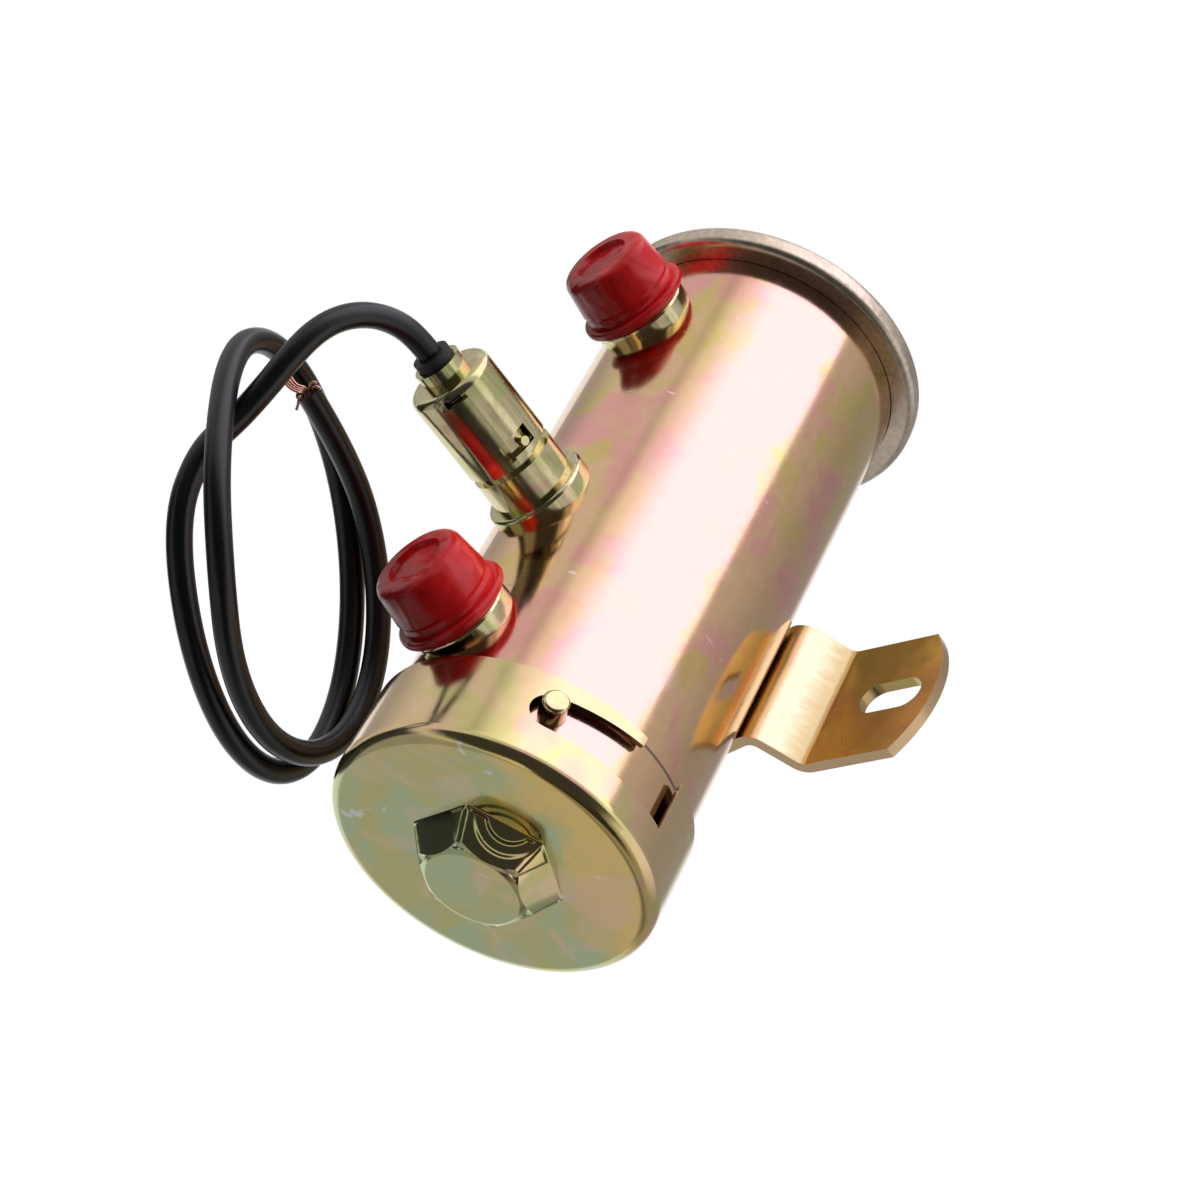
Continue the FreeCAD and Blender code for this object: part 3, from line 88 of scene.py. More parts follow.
# Patches in the body's plating: azimuth in degrees, height above the cover's face in
# millimetres, and half width and half height in the same units.
PINK_PATCHES = (
    (-63.0, 66.0, 6.0, 12.0), (-1.0, 66.0, 5.0, 6.0), (1.0, 43.0, 8.0, 6.0),
    (-3.0, 100.0, 5.0, 8.0), (16.0, 82.0, 7.0, 5.0), (-50.0, 70.0, 6.0, 9.0),
)
GREEN_PATCHES = (
    (-66.0, 107.0, 5.0, 6.0), (-92.0, 84.0, 7.0, 7.0), (-73.0, 68.0, 6.0, 3.5),
    (3.0, 92.0, 6.0, 4.5), (6.0, 76.0, 8.0, 4.5), (12.0, 108.0, 8.0, 6.0),
    (-52.0, 100.0, 8.0, 12.0), (30.0, 96.0, 9.0, 14.0), (-88.0, 38.0, 10.0, 6.0),
)

# The lead's route, as in the part's source.
LEAD_RADIUS = 2.1
LEAD_EXIT = (0.0, -91.2, -2.9)
LEAD_BEND = (
    (0.0, -95.0, -2.9),
    (-0.4, -99.2, -4.0),
    (-1.3, -103.2, -6.5),
    (-2.7, -106.2, -10.2),
    (-4.6, -107.7, -14.6),
    (-7.3, -107.5, -19.7),
    (-10.8, -106.4, -25.0),
    (-15.1, -105.4, -30.4),
    (-18.4, -105.9, -37.0),
)
# Then two loose oval turns, each in an upright plane beside the inlet: the plane's
# place, the oval's centre out from the mounting face and up, its half length and half
# width, and its lean from the upright in degrees.
TURN_AZIMUTH = 12.0
FIRST_TURN = (-41.9, 75.7, -34.4, 35.8, 22.1, 53.0)
SECOND_TURN = (-36.9, 75.8, -36.7, 32.1, 23.4, 67.0)
# The angles round the ovals at which the turns start and end, and between which the first
# becomes the second.
FIRST_ANGLE = 78.0
LAST_ANGLE = 678.0
STEPS_PER_TURN = 12
CHANGE_FROM = 365.0
CHANGE_TO = 425.0
# The second turn starts further out, where it hangs over the first bend.
SWELL = 7.1
SWELL_ANGLE = 425.0
SWELL_SPREAD = 45.0

# Frayed copper at the lead's bare end: one bundle bent to the left, a loose strand that
# hangs, and two that curl back, in millimetres from the end, as the camera sees them.
STRAND_RADIUS = 0.24
STRANDS = (
    ((0.2, -0.6, -0.6), (-0.5, 0.3, 0.4), (-1.4, 0.4, 0.8), (-2.4, 1.0, 1.0), (-3.0, 1.9, 0.9)),
    ((0.1, -0.9, -0.6), (-0.6, 0.0, 0.4), (-1.5, 0.1, 0.9), (-2.6, 0.7, 1.1), (-3.3, 1.6, 1.0)),
    ((-0.1, -1.1, -0.6), (-0.7, -0.3, 0.5), (-1.6, -0.2, 1.0), (-2.8, 0.4, 1.2), (-3.6, 1.4, 1.1)),
    ((0.4, -0.4, -0.6), (-0.3, 0.6, 0.3), (-1.2, 0.7, 0.7), (-2.1, 1.3, 0.8), (-2.6, 2.3, 0.6)),
    ((0.0, -0.8, -0.8), (-0.6, 0.2, 0.1), (-1.5, 0.3, 0.5), (-2.6, 0.9, 0.7), (-3.1, 1.4, 0.6)),
    ((-0.5, -1.0, -0.6), (-1.0, -0.6, 0.5), (-1.3, -1.4, 0.7), (-1.4, -2.4, 0.7), (-1.7, -3.1, 0.6)),
    ((0.6, -0.3, -0.6), (0.4, 0.8, 0.6), (0.9, 1.5, 0.9), (1.6, 1.2, 1.0)),
    ((0.9, -0.5, -0.6), (0.9, 0.5, 0.7), (1.6, 0.8, 1.0), (2.2, 0.2, 1.0)),
)

# The camera that the photograph was taken with, in millimetres, solved from the body's edges
# and rims.
CAMERA_PLACE = (325.14, -256.36, -319.62)
CAMERA_RIGHT = (0.73697, 0.55958, 0.37914)
CAMERA_UP = (0.18543, -0.70678, 0.68270)
CAMERA_LENS = 90.39
# Its right and up, laid on the bottom cover's flat face.
FACE_RIGHT = (0.797, 0.604)
FACE_UP = (0.254, -0.967)


class Shader:
    """A material's or a world's nodes, joined by plain sums on their sockets."""

    def __init__(self, name, store=None, surface="Principled BSDF"):
        if store is None:
            store = bpy.data.materials
        self.owner = store.new(name)
        self.owner.use_nodes = True
        self.tree = self.owner.node_tree
        self.base = self.tree.nodes[surface]

    def node(self, kind, *inputs, out=0, **settings):
        """A node with its settings and its inputs, given in order or as name and value."""
        made = self.tree.nodes.new(kind)
        for key, value in settings.items():
            setattr(made, key, value)
        for index, value in enumerate(inputs):
            place = index
            if isinstance(value, tuple) and len(value) == 2 and isinstance(value[0], str):
                place, value = value
            self.join(value, made.inputs[place])
        return Socket(self, made.outputs[out])

    def join(self, value, target):
        """Links a socket to an input, or sets the input to a number, colour or vector."""
        if value is None:
            return
        if isinstance(value, Socket):
            self.tree.links.new(value.socket, target)
        elif hasattr(target.default_value, "__len__") and not hasattr(value, "__len__"):
            target.default_value = [value] * len(target.default_value)
        elif hasattr(value, "__len__") and len(target.default_value) > len(value):
            target.default_value = list(value) + [1.0]
        else:
            target.default_value = value

    def set(self, **inputs):
        """Sets or links the surface's own inputs; an underscore stands for a space."""
        for key, value in inputs.items():
            self.join(value, self.base.inputs[key.replace("_", " ")])

    def place(self):
        """The point on the surface, in metres in the row frame."""
        return self.node("ShaderNodeTexCoord", out=3)

    def vector(self, x, y, z):
        return self.node("ShaderNodeCombineXYZ", x, y, z)

    def shift(self, where, by):
        """A point moved by the same distance along each axis, for another noise."""
        return self.node("ShaderNodeVectorMath", where, (by, by, by), operation="ADD")

    def noise(self, where, scale, detail=2.0, rough=0.5, twist=0.0):
        """Soft noise about 0.5, with its scale in waves for each unit of the point."""
        return self.node(
            "ShaderNodeTexNoise", ("Vector", where), ("Scale", scale),
            ("Detail", detail), ("Roughness", rough), ("Distortion", twist),
        )

    def mix(self, factor, first, second):
        """The first colour where the factor is 0, and the second where it is 1."""
        # The node's sockets 1 to 5 are for numbers and vectors, and stay as they are.
        others = [None] * 5
        return self.node("ShaderNodeMix", factor, *others, first, second, out=2, data_type="RGBA")

    def bump(self, height, depth, under=None):
        """A normal from a height of 0 to 1, whose full depth is in millimetres."""
        return self.node(
            "ShaderNodeBump", ("Height", height), ("Distance", depth * MM), ("Normal", under),
        )


class Socket:
    """A node's output that can be added, multiplied, compared and smoothed."""

    def __init__(self, shader, socket):
        self.shader = shader
        self.socket = socket

    def math(self, operation, *others):
        return self.shader.node("ShaderNodeMath", self, *others, operation=operation)

    def __add__(self, other):
        return self.math("ADD", other)

    def __sub__(self, other):
        return self.math("SUBTRACT", other)

    def __rsub__(self, other):
        return self.shader.node("ShaderNodeMath", other, self, operation="SUBTRACT")

    def __mul__(self, other):
        return self.math("MULTIPLY", other)

    __radd__ = __add__
    __rmul__ = __mul__

    def parts(self):
        """The three numbers of a vector."""
        first = self.shader.node("ShaderNodeSeparateXYZ", self)
        return [Socket(self.shader, out) for out in first.socket.node.outputs]

    def mm(self):
        """The three numbers of a point in metres, in millimetres."""
        return [part * (1.0 / MM) for part in self.parts()]

    def step(self, low, high):
        """0 at and below low, 1 at and above high, smooth between; low may be the higher."""
        ends = (low, high, 0.0, 1.0) if low < high else (high, low, 1.0, 0.0)
        return self.shader.node(
            "ShaderNodeMapRange", self, *ends, interpolation_type="SMOOTHSTEP",
        )

    def band(self, start, full, fade, end):
        """0 up to the start, 1 from full to fade, and 0 again from the end."""
        return self.step(start, full) * self.step(end, fade)

    def clamp(self):
        return self.shader.node("ShaderNodeClamp", self)


class Plating(Shader):
    """Yellow-passivated zinc: a gold film with pink and green patches, handled and scuffed."""

    def __init__(self, name, gold, pink, green, depth, patch, gloss, worn=1.0):
        super().__init__(name)
        self.film = (tuple(gold), pink, green)
        self.gloss = gloss
        self.where = self.place()
        x, y, self.along = self.where.mm()
        y = y - AXIS_Y
        self.angle = y.math("ARCTAN2", x)
        self.out = (x * x + y * y).math("SQRT")
        broad = self.noise(self.where, patch, twist=0.8)
        other = self.noise(self.shift(self.where, 0.31), patch * 0.9, twist=1.2)
        self.pinks = broad.step(0.50, 0.68) * depth
        self.greens = other.step(0.50, 0.66) * depth
        self.fine = self.noise(self.where, patch * 6, 3.0, 0.6)
        arc = self.angle * BODY_RADIUS
        streak = self.vector(arc * 0.24, (self.along + arc * 0.16) * 1.5, self.out * 0.9)
        marks = self.noise(streak, 1.0, 1.0, twist=0.4)
        rare = self.noise(self.where, 120.0, 1.0)
        self.scuff = marks.step(0.72, 0.77) * rare.step(0.54, 0.64) * worn
        self.haze = self.noise(self.where, 300.0, 3.0, 0.55)
        lines = self.vector(arc * 2.6, self.along * 0.22, self.out * 0.9)
        self.grain = self.noise(lines, 1.0, 2.0, 0.6)

    def relief(self, under=None):
        """The plating's fine relief, over another normal where one is given."""
        height = self.haze * 0.6 + self.grain * 0.25 - self.scuff * 0.6
        return self.bump(height, 0.01, under)

    def lay(self, amount, over, normal=None):
        """Sets the surface: patches, scuffs and grain, with some of a colour over them."""
        gold, pink, green = self.film
        colour = self.mix(self.pinks, gold, pink)
        colour = self.mix(self.greens, colour, green)
        tint = self.fine.step(0.35, 0.75) * 0.16
        colour = self.mix(tint, colour, tuple(0.72 * c for c in gold))
        colour = self.mix(self.scuff * 0.6, colour, (0.93, 0.87, 0.80))
        rough = self.gloss + self.haze.step(0.3, 0.8) * 0.05 + self.scuff * 0.3
        self.set(
            Base_Color=self.mix(amount, colour, over), Roughness=rough + self.grain * 0.03,
            Metallic=1.0, Normal=normal or self.relief(),
        )


def clumps(turn, height, patches):
    """Soft patches at chosen places on the body, the strongest of them at each point."""
    total = None
    for azimuth, level, wide, tall in patches:
        across = (turn - azimuth) * (1.0 / wide)
        up = (height - level) * (1.0 / tall)
        near = ((across * across + up * up) * -1.0).math("EXPONENT")
        total = near if total is None else total.math("MAXIMUM", near)
    return total


def body_film(metal, depth):
    """The body's own patches, a pale pink painted as highlight where the wide light falls, a
    speckled flange, and dark lines painted as shade under the flange and just above the cover's rim."""
    warp = metal.noise(metal.where, 110.0) - 0.5
    drift = metal.noise(metal.shift(metal.where, 0.5), 110.0) - 0.5
    turn = metal.angle * DEGREES + warp * 26.0
    height = metal.along - FACE_Z + drift * 18.0
    # A pale pink painted as the highlight where the wide light falls, and the patches made fainter
    # under it.
    pale = turn.band(*PAINTED_HIGHLIGHT_BAND) * 0.55
    calm = 1.0 - turn.band(*HIGHLIGHT_CALM_BAND) * 0.75
    ragged = (metal.fine - 0.5) * 0.7
    pinks = metal.pinks.math("MAXIMUM", clumps(turn, height, PINK_PATCHES) * depth)
    metal.pinks = (pinks + ragged).step(0.1, 1.0) * calm
    greens = clumps(turn, height, GREEN_PATCHES) * depth
    greens = (metal.greens * 0.8).math("MAXIMUM", greens)
    metal.greens = (greens + ragged).step(0.1, 1.05) * calm * 0.85
    flange = metal.out.step(BODY_RADIUS + 0.3, BODY_RADIUS + 0.8)
    # Painted shade: a near black line on the body just under the flange, and another just above the
    # cover's rim.
    shade_line = metal.along.step(BODY_TOP - 0.6, BODY_TOP - 0.3) * (1.0 - flange)
    skirt = metal.along.band(SKIRT_TOP - 0.4, SKIRT_TOP - 0.1, SKIRT_TOP + 0.25, SKIRT_TOP + 0.5)
    speckle = metal.noise(metal.where, 900.0, 3.0, 0.6).step(0.4, 0.65)
    steel = metal.mix(speckle, (0.46, 0.35, 0.26), (0.76, 0.62, 0.48))
    # The near black is the painted shade of those lines; the flange itself gets speckled steel.
    dark = metal.mix(flange, (0.10, 0.07, 0.05), steel)
    edges = (shade_line + flange + skirt * 0.85).clamp()
    metal.lay(edges.math("MAXIMUM", pale), metal.mix(edges, (0.82, 0.51, 0.54), dark))


def boss_shape(metal, x, y, z):
    """The relief of the cover's boss: rounded corners, and pressed rings on one flat."""
    boss = z.step(FACE_Z - 0.2, FACE_Z - 0.7)
    sector = (metal.angle * DEGREES - BOSS_TURN).math("WRAP", 30.0, -30.0)
    off = metal.out * sector.math("ABSOLUTE").math("RADIANS").math("SINE")
    near = (off * (1.0 / RIDGE_REACH)).clamp()
    sides = boss * metal.out.step(8.7, 9.2)
    ridge = near * (2.0 - near) * sides + (1.0 - sides)
    flat = math.radians(BOSS_FLAT)
    facing = x * math.cos(flat) + y * math.sin(flat)
    across = y * math.cos(flat) - x * math.sin(flat) - RING_SIDE
    down = FACE_Z + RING_RISE - z
    ring = (across * across + down * down).math("SQRT")
    arcs = ring.step(3.9, 4.9) + ring.step(5.7, 6.7)
    arcs = arcs * boss * facing.step(7.9, 8.4) * down.step(1.0, 2.4)
    return metal.bump(ridge, 0.48, metal.bump(arcs, 0.30))


def cover_film(metal):
    """The cover: greener on its face and boss, golden toward the camera's upper right, and a dark
    brown painted as shade on the walls within its rim."""
    x, y, z = metal.where.mm()
    y = y - AXIS_Y
    right = x * FACE_RIGHT[0] + y * FACE_RIGHT[1]
    up = x * FACE_UP[0] + y * FACE_UP[1]
    drift = metal.noise(metal.where, 60.0, 3.0, twist=1.0) - 0.5
    gold = (right * 0.8 + up * 0.45 + drift * 44.0).step(5.0, 17.0)
    cool = metal.noise(metal.shift(metal.where, 0.7), 75.0, 3.0, twist=1.0).step(0.40, 0.62)
    rosy = metal.noise(metal.shift(metal.where, 1.9), 85.0, 3.0, twist=1.2).step(0.46, 0.76)
    spots = metal.noise(metal.shift(metal.where, 2.3), 170.0, twist=0.6).step(0.70, 0.76)
    film = metal.mix(cool, (0.56, 0.53, 0.24), (0.48, 0.56, 0.34))
    film = metal.mix(gold * 0.9, film, (0.84, 0.59, 0.21))
    film = metal.mix(rosy * 0.6, film, (0.82, 0.55, 0.38))
    film = metal.mix(spots * 0.6, film, (0.82, 0.76, 0.84))
    face = z.step(FACE_Z + 1.6, FACE_Z + 0.4)
    # Painted shade: a dark brown on the walls within the cover's rim, above its face.
    painted_inner_shade = metal.out.step(COVER_RADIUS - 0.08, COVER_RADIUS - 0.16)
    painted_inner_shade = painted_inner_shade * z.step(FACE_Z + 3.0, FACE_Z + 3.3)
    film = metal.mix(painted_inner_shade, film, (0.16, 0.11, 0.07))
    metal.lay((face + painted_inner_shade).clamp(), film, metal.relief(boss_shape(metal, x, y, z)))


def worn_film(metal):
    """The fittings and the connector: darker streaks that run out from the body, and a darker
    band along one side of the shell's raised channel."""
    x, y, z = metal.where.mm()
    streak = metal.noise(metal.vector(x * 0.9, y * 0.11, z * 0.9), 1.0, 3.0, 0.6, 0.3)
    spots = metal.noise(metal.where, 520.0).step(0.56, 0.72)
    worn = streak.step(0.44, 0.70) * 0.55 + spots * 0.25
    side = (z - SOCKET_Z).math("ARCTAN2", x) * DEGREES
    channel_dark = side.band(*CHANNEL_DARK_BAND) * y.step(SHELL_MOUTH - 1.4, SHELL_MOUTH - 3.4)
    film = metal.mix(channel_dark, (0.46, 0.36, 0.20), (0.24, 0.19, 0.12))
    metal.lay(worn.math("MAXIMUM", channel_dark * 0.75), film)


def strap_film(metal):
    """The bracket: a pale painted highlight on the front of its webs, golden film at their back, a
    pinker brown on its edges, and crinkled at the fold to the foot.
    """
    x, y, z = metal.where.mm()
    off = x.math("ABSOLUTE")
    web_highlight = off.band(*WEB_HIGHLIGHT_BAND)
    reach = ((off - FOOT_MIDDLE) * (off - FOOT_MIDDLE) + z * z).math("SQRT")
    end = (reach * off.step(30.0, 31.0)).step(FOOT_RADIUS - 0.3, FOOT_RADIUS - 0.1)
    edge = z.math("ABSOLUTE").step(STRAP_HALF - 0.2, STRAP_HALF - 0.05).math("MAXIMUM", end)
    teeth = metal.noise(metal.vector(x * 0.26, y * 0.26, z * 0.62), 1.0)
    # Painted highlight: a pale cream at each web's front, fading through ragged teeth to golden film
    # at its back.
    back = (y + (teeth - 0.5) * 4.0).step(-6.8, -2.8)
    film = metal.mix(back, (0.68, 0.64, 0.44), (0.50, 0.39, 0.20))
    film = metal.mix(edge, film, (0.66, 0.46, 0.28))
    fold = off.band(*FOLD_BAND)
    shape = metal.bump(fold * teeth.step(0.3, 0.7), 0.06)
    soft = metal.noise(metal.where, 130.0, 1.0)
    normal = metal.bump(soft + metal.haze * 0.02, 0.22, shape)
    metal.lay((web_highlight * 0.9).math("MAXIMUM", edge * 0.8), film, normal)


def plain(name, colour, rough, metal=0.0, scale=600.0, vary=0.15):
    """A plain material with a fine mottle in its colour, gloss and surface."""
    shader = Shader(name)
    where = shader.place()
    mottle = shader.noise(where, scale, 4.0, 0.6)
    broad = shader.noise(where, scale * 0.12)
    shade = mottle.step(0.25, 0.8) * 0.6 + broad.step(0.3, 0.7) * 0.4
    dark = tuple(c * (1.0 - vary) for c in colour)
    light = tuple(min(c * (1.0 + vary), 1.0) for c in colour)
    shader.set(
        Base_Color=shader.mix(shade, dark, light),
        Roughness=rough + mottle * 0.08,
        Metallic=metal,
        Normal=shader.bump(mottle, 0.02),
    )
    return shader


def soft_vinyl(red, shade_red):
    """Soft vinyl: a deeper red painted as shade to the lower left of each plug, dented and a little
    glossy.
    """
    shader = Shader("red_plug")
    where = shader.place()
    x, y, z = where.mm()
    half = PLUG_SPACING / 2
    height = z.math("WRAP", PLUG_HEIGHT + half, PLUG_HEIGHT - half) - PLUG_HEIGHT
    side = x * 0.72 + height * 0.55
    dents = shader.noise(where, 72.0, twist=0.6)
    wrinkles = shader.noise(shader.vector(x * 0.26, y * 0.07, z * 0.26), 1.0, 1.0, twist=0.4)
    skin = shader.noise(where, 620.0, 4.0, 0.6)
    smear = shader.noise(shader.shift(where, 0.4), 150.0, twist=0.8)
    # Painted shade: the deeper red to each plug's lower left, fading to the plain red at its upper
    # right.
    painted_shade = (side + (smear - 0.5) * 16.0).step(-8.0, 8.0)
    colour = shader.mix(painted_shade, shade_red, red)
    dust = smear.step(0.62, 0.74) * skin.step(0.45, 0.65) * 0.10
    shader.set(
        Base_Color=shader.mix(dust, colour, (0.75, 0.30, 0.28)),
        Roughness=0.20 + smear * 0.10 + dust, Specular_IOR_Level=0.32,
        Normal=shader.bump(dents + wrinkles * 0.16 + skin * 0.03, 1.9),
    )
    return shader


def dress(shader, *names):
    """Gives CAD nodes one material in every slot."""
    for name in names:
        mesh = NODES[name].data
        mesh.materials.clear()
        mesh.materials.append(shader.owner)


def blend(value, start, end):
    """0 before the start, 1 after the end, and a smooth step between."""
    part = min(max((value - start) / (end - start), 0.0), 1.0)
    return part * part * (3 - 2 * part)


def lead_route():
    """The lead's points: out of the sleeve, round the first bend, and two loose turns.

    A turn's point is the oval's centre, plus its half length by the angle's cosine and its
    half width by the angle's sine, leaned over, in an upright plane that faces the azimuth.
    """
    points = [LEAD_EXIT, *LEAD_BEND]
    step = 360.0 / STEPS_PER_TURN
    count = round((LAST_ANGLE - FIRST_ANGLE) / step)
    facing = math.radians(TURN_AZIMUTH)
    for i in range(count + 1):
        angle = FIRST_ANGLE + (LAST_ANGLE - FIRST_ANGLE) * i / count
        part = blend(angle, CHANGE_FROM, CHANGE_TO)
        place, middle, height, long, wide, lean = (
            one + (two - one) * part for one, two in zip(FIRST_TURN, SECOND_TURN)
        )
        place += SWELL * math.exp(-((angle - SWELL_ANGLE) / SWELL_SPREAD) ** 2)
        along = long * math.cos(math.radians(angle))
        across = wide * math.sin(math.radians(angle))
        lean = math.radians(lean)
        out = middle + along * math.sin(lean) + across * math.cos(lean)
        up = height + along * math.cos(lean) - across * math.sin(lean)
        points.append((
            place * math.cos(facing) + out * math.sin(facing),
            place * math.sin(facing) - out * math.cos(facing),
            up,
        ))
    return points


def strand_routes():
    """The frayed strands' points, from offsets to the right, up and toward the camera."""
    end = Vector(lead_route()[-1])
    right = Vector(CAMERA_RIGHT)
    up = Vector(CAMERA_UP)
    back = right.cross(up)
    return [[end + right * a + up * b + back * c for a, b, c in strand] for strand in STRANDS]


def curve_piece(name, routes, radius, material):
    """A piece of round wires, each a smooth spline through its own points."""
    data = bpy.data.curves.new(name, "CURVE")
    data.dimensions = "3D"
    data.bevel_depth = radius * MM
    data.bevel_resolution = 8
    data.use_fill_caps = True
    data.resolution_u = 12
    for route in routes:
        spline = data.splines.new("NURBS")
        spline.points.add(len(route) - 1)
        for point, (x, y, z) in zip(spline.points, route):
            point.co = (x * MM, y * MM, z * MM, 1.0)
        spline.order_u = 3
        spline.use_endpoint_u = True
    data.materials.append(material)
    piece = bpy.data.objects.new(name, data)
    bpy.context.scene.collection.objects.link(piece)
    return piece


def colour_setting(name, description, default):
    """A colour that can be changed."""
    return bpy.props.FloatVectorProperty(
        name=name, description=description, default=default, subtype="COLOR", min=0, max=1,
    )


def share_setting(name, description, default):
    """A share from 0 to 1 that can be changed."""
    return bpy.props.FloatProperty(
        name=name, description=description, default=default, subtype="FACTOR", min=0, max=1,
    )


class PumpLook(bpy.types.PropertyGroup):
    """What can be changed about the pump's finish."""

    body_gold: colour_setting("Body", "Film on the body", (0.83, 0.54, 0.32))
    cover_gold: colour_setting("Cover", "Film on the bottom cover", (0.80, 0.58, 0.33))
    fitting_gold: colour_setting("Fittings", "Film on ports and connector", (0.74, 0.65, 0.38))
    strap_olive: colour_setting("Bracket", "Film on the bracket", (0.58, 0.43, 0.16))
    cap_steel: colour_setting("Cap", "Bare steel of the top cap", (0.67, 0.56, 0.45))
    patch_depth: share_setting("Patches", "Strength of the pink and green patches", 1.0)
    gloss: share_setting("Roughness", "Roughness of the body's and cover's film", 0.10)
    plug_red: colour_setting("Plugs", "Red of the shipping plugs", (0.80, 0.014, 0.016))
    # The plugs' painted shade: the deeper red of their lower left.
    plug_painted_shade: colour_setting("Plugs' shade", "Deeper red of their low side", (0.34, 0.004, 0.006))
    lead_black: colour_setting("Lead", "Lead's insulation", (0.006, 0.0055, 0.006))


class PUMP_OT_plating(bpy.types.Operator):
    """Yellow-passivated zinc on the body, cover, fittings, connector and bracket"""

    bl_idname = "pump.plating"
    bl_label = "Plating"

    def execute(self, context):
        look = context.scene.pump_look
        depth = look.patch_depth
        body = Plating(
            "plating", look.body_gold, (0.87, 0.43, 0.37), (0.72, 0.57, 0.19),
            depth, patch=60.0, gloss=look.gloss,
        )
        body_film(body, depth)
        dress(body, "housing")
        cover = Plating(
            "cover_plating", look.cover_gold, (0.82, 0.49, 0.36), (0.70, 0.60, 0.26),
            depth, patch=60.0, gloss=look.gloss,
        )
        cover_film(cover)
        dress(cover, "bottom_cover")
        fitting = Plating(
            "fitting_plating", look.fitting_gold, (0.72, 0.48, 0.34), (0.58, 0.60, 0.26),
            depth, patch=130.0, gloss=look.gloss + 0.03, worn=0.4,
        )
        worn_film(fitting)
        dress(fitting, "bayonet_pins", "inlet_fitting", "outlet_fitting")
        dress(fitting, "connector_socket", "connector_shell")
        strap = Plating(
            "strap_plating", look.strap_olive, (0.52, 0.35, 0.16), (0.54, 0.45, 0.15),
            depth, patch=70.0, gloss=look.gloss + 0.12, worn=0.0,
        )
        strap_film(strap)
        dress(strap, "mounting_bracket")
        cap = plain("cap_steel", look.cap_steel, 0.30, metal=1.0, scale=900.0, vary=0.28)
        dress(cap, "top_cap")
        return {"FINISHED"}


class PUMP_OT_plugs(bpy.types.Operator):
    """Soft red shipping plugs"""

    bl_idname = "pump.plugs"
    bl_label = "Plugs"

    def execute(self, context):
        look = context.scene.pump_look
        dress(soft_vinyl(look.plug_red, look.plug_painted_shade), "inlet_plug", "outlet_plug")
        return {"FINISHED"}


class PUMP_OT_inside(bpy.types.Operator):
    """Materials of the pieces inside the body and the connector"""

    bl_idname = "pump.inside"
    bl_label = "Inner pieces"

    def execute(self, context):
        rubber = plain("black_rubber", (0.018, 0.018, 0.019), 0.5, scale=1500.0)
        dress(rubber, "damper_diaphragm", "cover_gasket", "valve_seal", "plunger_bumper")
        dress(rubber, "lead_sleeve")
        steel = plain("bare_steel", (0.48, 0.48, 0.49), 0.3, metal=1.0)
        dress(steel, "lower_bulkhead", "upper_pole", "upper_bulkhead", "retainer_clip")
        dress(steel, "cup_washer", "inlet_valve_cage", "plunger", "plunger_valve_cage")
        dress(steel, "plunger_spring", "connector_spring", "thrust_washer")
        brass = plain("brass", (0.72, 0.52, 0.22), 0.25, metal=1.0)
        dress(brass, "plunger_tube", "inlet_valve_body", "socket_contact", "plug_contact")
        copper = plain("copper", (0.80, 0.36, 0.20), 0.25, metal=1.0)
        dress(copper, "coil_winding", "feed_wire", "lead_core")
        nylon = plain("nylon", (0.78, 0.75, 0.66), 0.45)
        dress(nylon, "filter_screen", "coil_bobbin", "board_carrier")
        dress(nylon, "inlet_valve_disc", "plunger_valve_disc")
        dress(plain("board", (0.03, 0.16, 0.05), 0.35), "circuit_board")
        black = plain("black_plastic", (0.02, 0.02, 0.02), 0.4)
        dress(black, "transistor", "socket_insulator", "plug_insulator")
        dress(plain("magnet", (0.06, 0.06, 0.065), 0.6), "cover_magnet")
        return {"FINISHED"}


class PUMP_OT_lead(bpy.types.Operator):
    """The feed lead in its two loose turns"""

    bl_idname = "pump.lead"
    bl_label = "Lead"

    def execute(self, context):
        look = context.scene.pump_look
        skin = plain("lead_skin", look.lead_black, 0.27, scale=1800.0)
        lead = curve_piece("lead", [lead_route()], LEAD_RADIUS, skin.owner)
        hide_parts("lead_wire")
        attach(lead, "pump")
        copper = plain("strand_copper", (0.86, 0.44, 0.32), 0.22, metal=1.0)
        strands = curve_piece("frayed_strands", strand_routes(), STRAND_RADIUS, copper.owner)
        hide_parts("lead_strands")
        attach(strands, "pump")
        return {"FINISHED"}


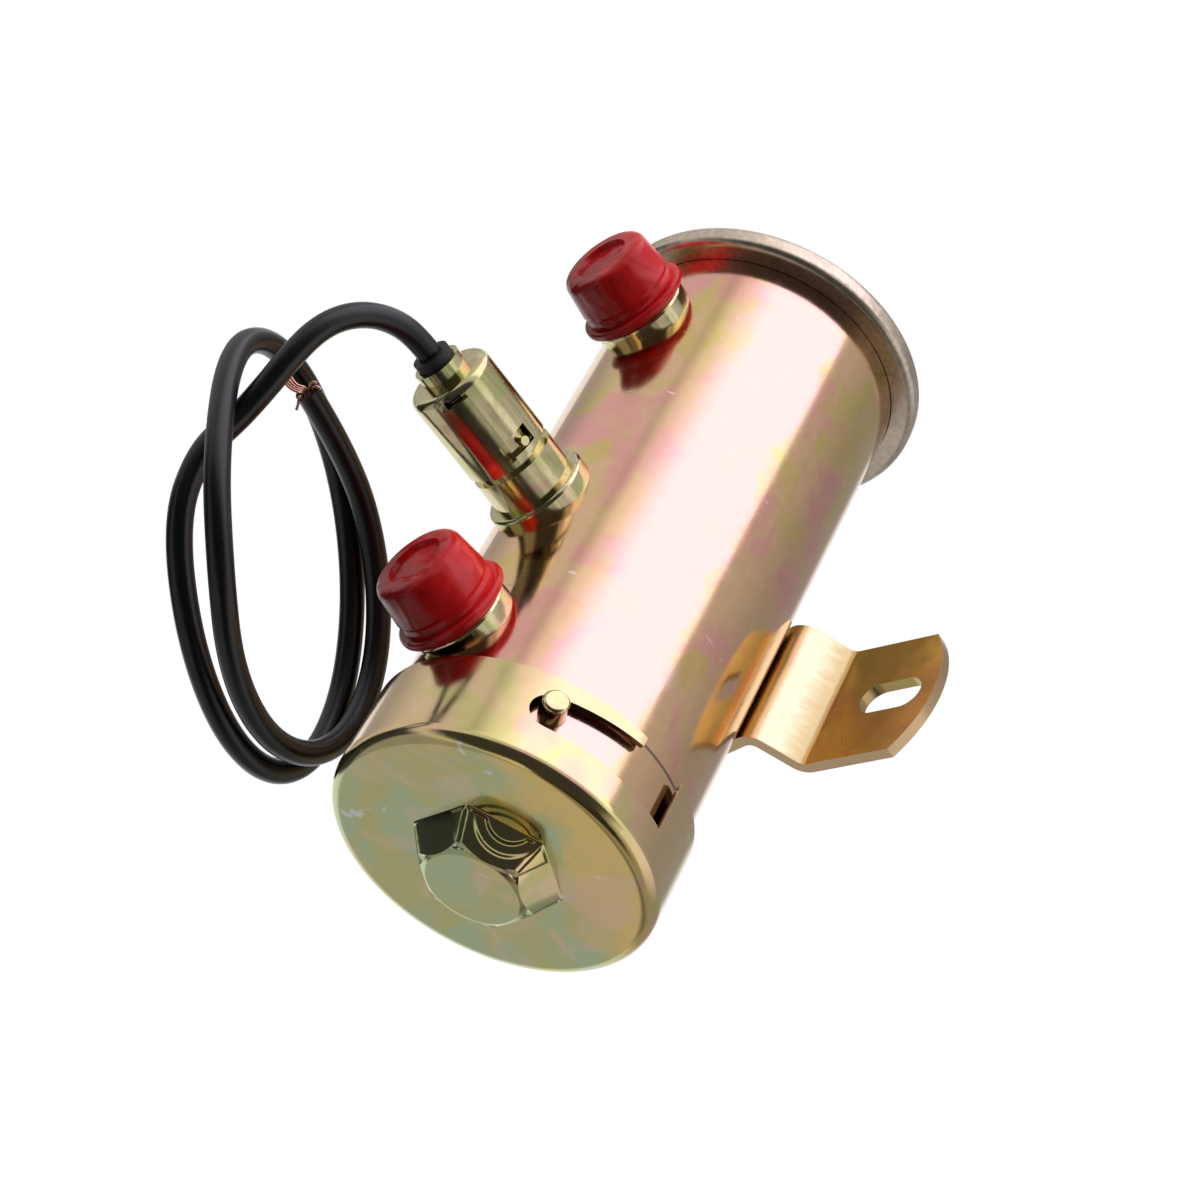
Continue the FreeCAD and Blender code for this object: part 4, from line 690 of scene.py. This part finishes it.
def world_light():
    """White studio: a wide light over the pump's top, grey walls, and dark round the camera."""
    shader = Shader("studio", bpy.data.worlds, "Background")
    bpy.context.scene.world = shader.owner
    x, y, z = shader.node("ShaderNodeTexCoord", out=0).parts()
    # Directions in degrees: turn about the upright from +X, and rise above the level. A band
    # starts, is full, begins to fade and ends.
    turn = y.math("ARCTAN2", x) * DEGREES
    rise = z.math("ARCSINE") * DEGREES
    high = rise.step(12.0, 20.0)
    low = 1.0 - high
    # Grey walls, dimmer past +X, with a bright one far round and a white card low down.
    right = turn.step(17.0, 20.5)
    dusk = right * turn.step(24.0, 75.0)
    rim = right * turn.step(112.0, 130.0)
    card = turn.band(2.0, 14.0, 60.0, 90.0) * rise.step(-34.0, -26.0) * low
    level = 0.70 - right * 0.18 - dusk * 0.18 + rim * 0.64 + card * 0.45
    # Dimmer low down behind, and dark ahead and beneath, where the camera stands.
    behind = (turn.step(96.0, 110.0) + turn.step(-112.0, -124.0)) * low
    level = level * (1.0 - behind * rise.step(-14.0, -24.0) * 0.45)
    ahead = turn.band(-112.0, -96.0, 12.0, 34.0) * rise.band(-76.0, -66.0, -6.0, 2.0)
    under = turn.band(-60.0, -40.0, 60.0, 84.0) * rise.step(-40.0, -50.0)
    left = turn.step(-112.0, -124.0) * rise.band(-30.0, -20.0, 6.0, 12.0)
    level = level * (1.0 - (ahead + under + left).clamp() * 0.93)
    # A faint seam between two walls, and a darker flank past them.
    shade_line = turn.band(-89.0, -86.0, -84.0, -81.0) * high
    flank = turn.step(-132.0, -168.0) * high
    level = level * (1.0 - shade_line * 0.17) * (1.0 - flank * 0.42)
    # The wide light, which brightens in two steps.
    lit = turn.step(18.8, 16.0) * high
    wing = turn.step(-81.0, -75.0) * lit
    key = turn.step(-78.0, -44.0) * lit
    level = level + wing * 0.26 + key * 0.84
    # The camera itself sees plain white.
    camera = shader.node("ShaderNodeLightPath", out=0)
    unseen = 1.0 - camera
    shader.join(level * unseen + camera, shader.base.inputs["Strength"])
    tint = shader.mix(key * unseen, (1.0, 1.0, 1.0), (1.0, 0.95, 1.08))
    shader.join(tint, shader.base.inputs["Color"])


def floor():
    """The pale floor of the studio, well below the pump and the camera."""
    data = bpy.data.meshes.new("floor")
    sides = ((-1, -1), (1, -1), (1, 1), (-1, 1))
    corners = [(x * FLOOR_HALF, y * FLOOR_HALF, FLOOR_LEVEL) for x, y in sides]
    data.from_pydata(corners, [], [(0, 1, 2, 3)])
    pale = plain("floor", (0.92, 0.92, 0.92), 0.7, scale=8.0, vary=0.02)
    data.materials.append(pale.owner)
    piece = bpy.data.objects.new("floor", data)
    bpy.context.scene.collection.objects.link(piece)
    piece.visible_glossy = False
    piece.visible_diffuse = False


class PUMP_OT_stage(bpy.types.Operator):
    """Floor, light and the camera of the photograph"""

    bl_idname = "pump.stage"
    bl_label = "Stage"

    def execute(self, context):
        scene = context.scene
        world_light()
        floor()
        data = bpy.data.cameras.new("camera")
        data.lens = CAMERA_LENS
        data.sensor_width = 36.0
        data.clip_end = 20.0
        camera = bpy.data.objects.new("camera", data)
        scene.collection.objects.link(camera)
        right = Vector(CAMERA_RIGHT)
        up = Vector(CAMERA_UP)
        back = right.cross(up)
        turn = Matrix((right, up, back)).transposed().to_4x4()
        camera.matrix_world = Matrix.Translation(Vector(CAMERA_PLACE) * MM) @ turn
        scene.camera = camera
        scene.view_settings.view_transform = "Standard"
        return {"FINISHED"}


class PUMP_PT_panel(bpy.types.Panel):
    """The pump's steps, in order"""

    bl_label = "Fuel pump"
    bl_space_type = "VIEW_3D"
    bl_region_type = "UI"
    bl_category = "Pump"

    def draw(self, context):
        look = context.scene.pump_look
        for name in PumpLook.__annotations__:
            self.layout.prop(look, name)
        for step in STEPS:
            self.layout.operator(step.bl_idname)


STEPS = (PUMP_OT_plating, PUMP_OT_plugs, PUMP_OT_inside, PUMP_OT_lead, PUMP_OT_stage)
CLASSES = (PumpLook, *STEPS, PUMP_PT_panel)


def register():
    for made in CLASSES:
        bpy.utils.register_class(made)
    bpy.types.Scene.pump_look = bpy.props.PointerProperty(type=PumpLook)


def unregister():
    del bpy.types.Scene.pump_look
    for made in reversed(CLASSES):
        bpy.utils.unregister_class(made)


def main():
    """Runs every step."""
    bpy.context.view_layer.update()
    register()
    for step in STEPS:
        group, name = step.bl_idname.split(".")
        getattr(getattr(bpy.ops, group), name)()


if __name__ == "__main__":
    main()
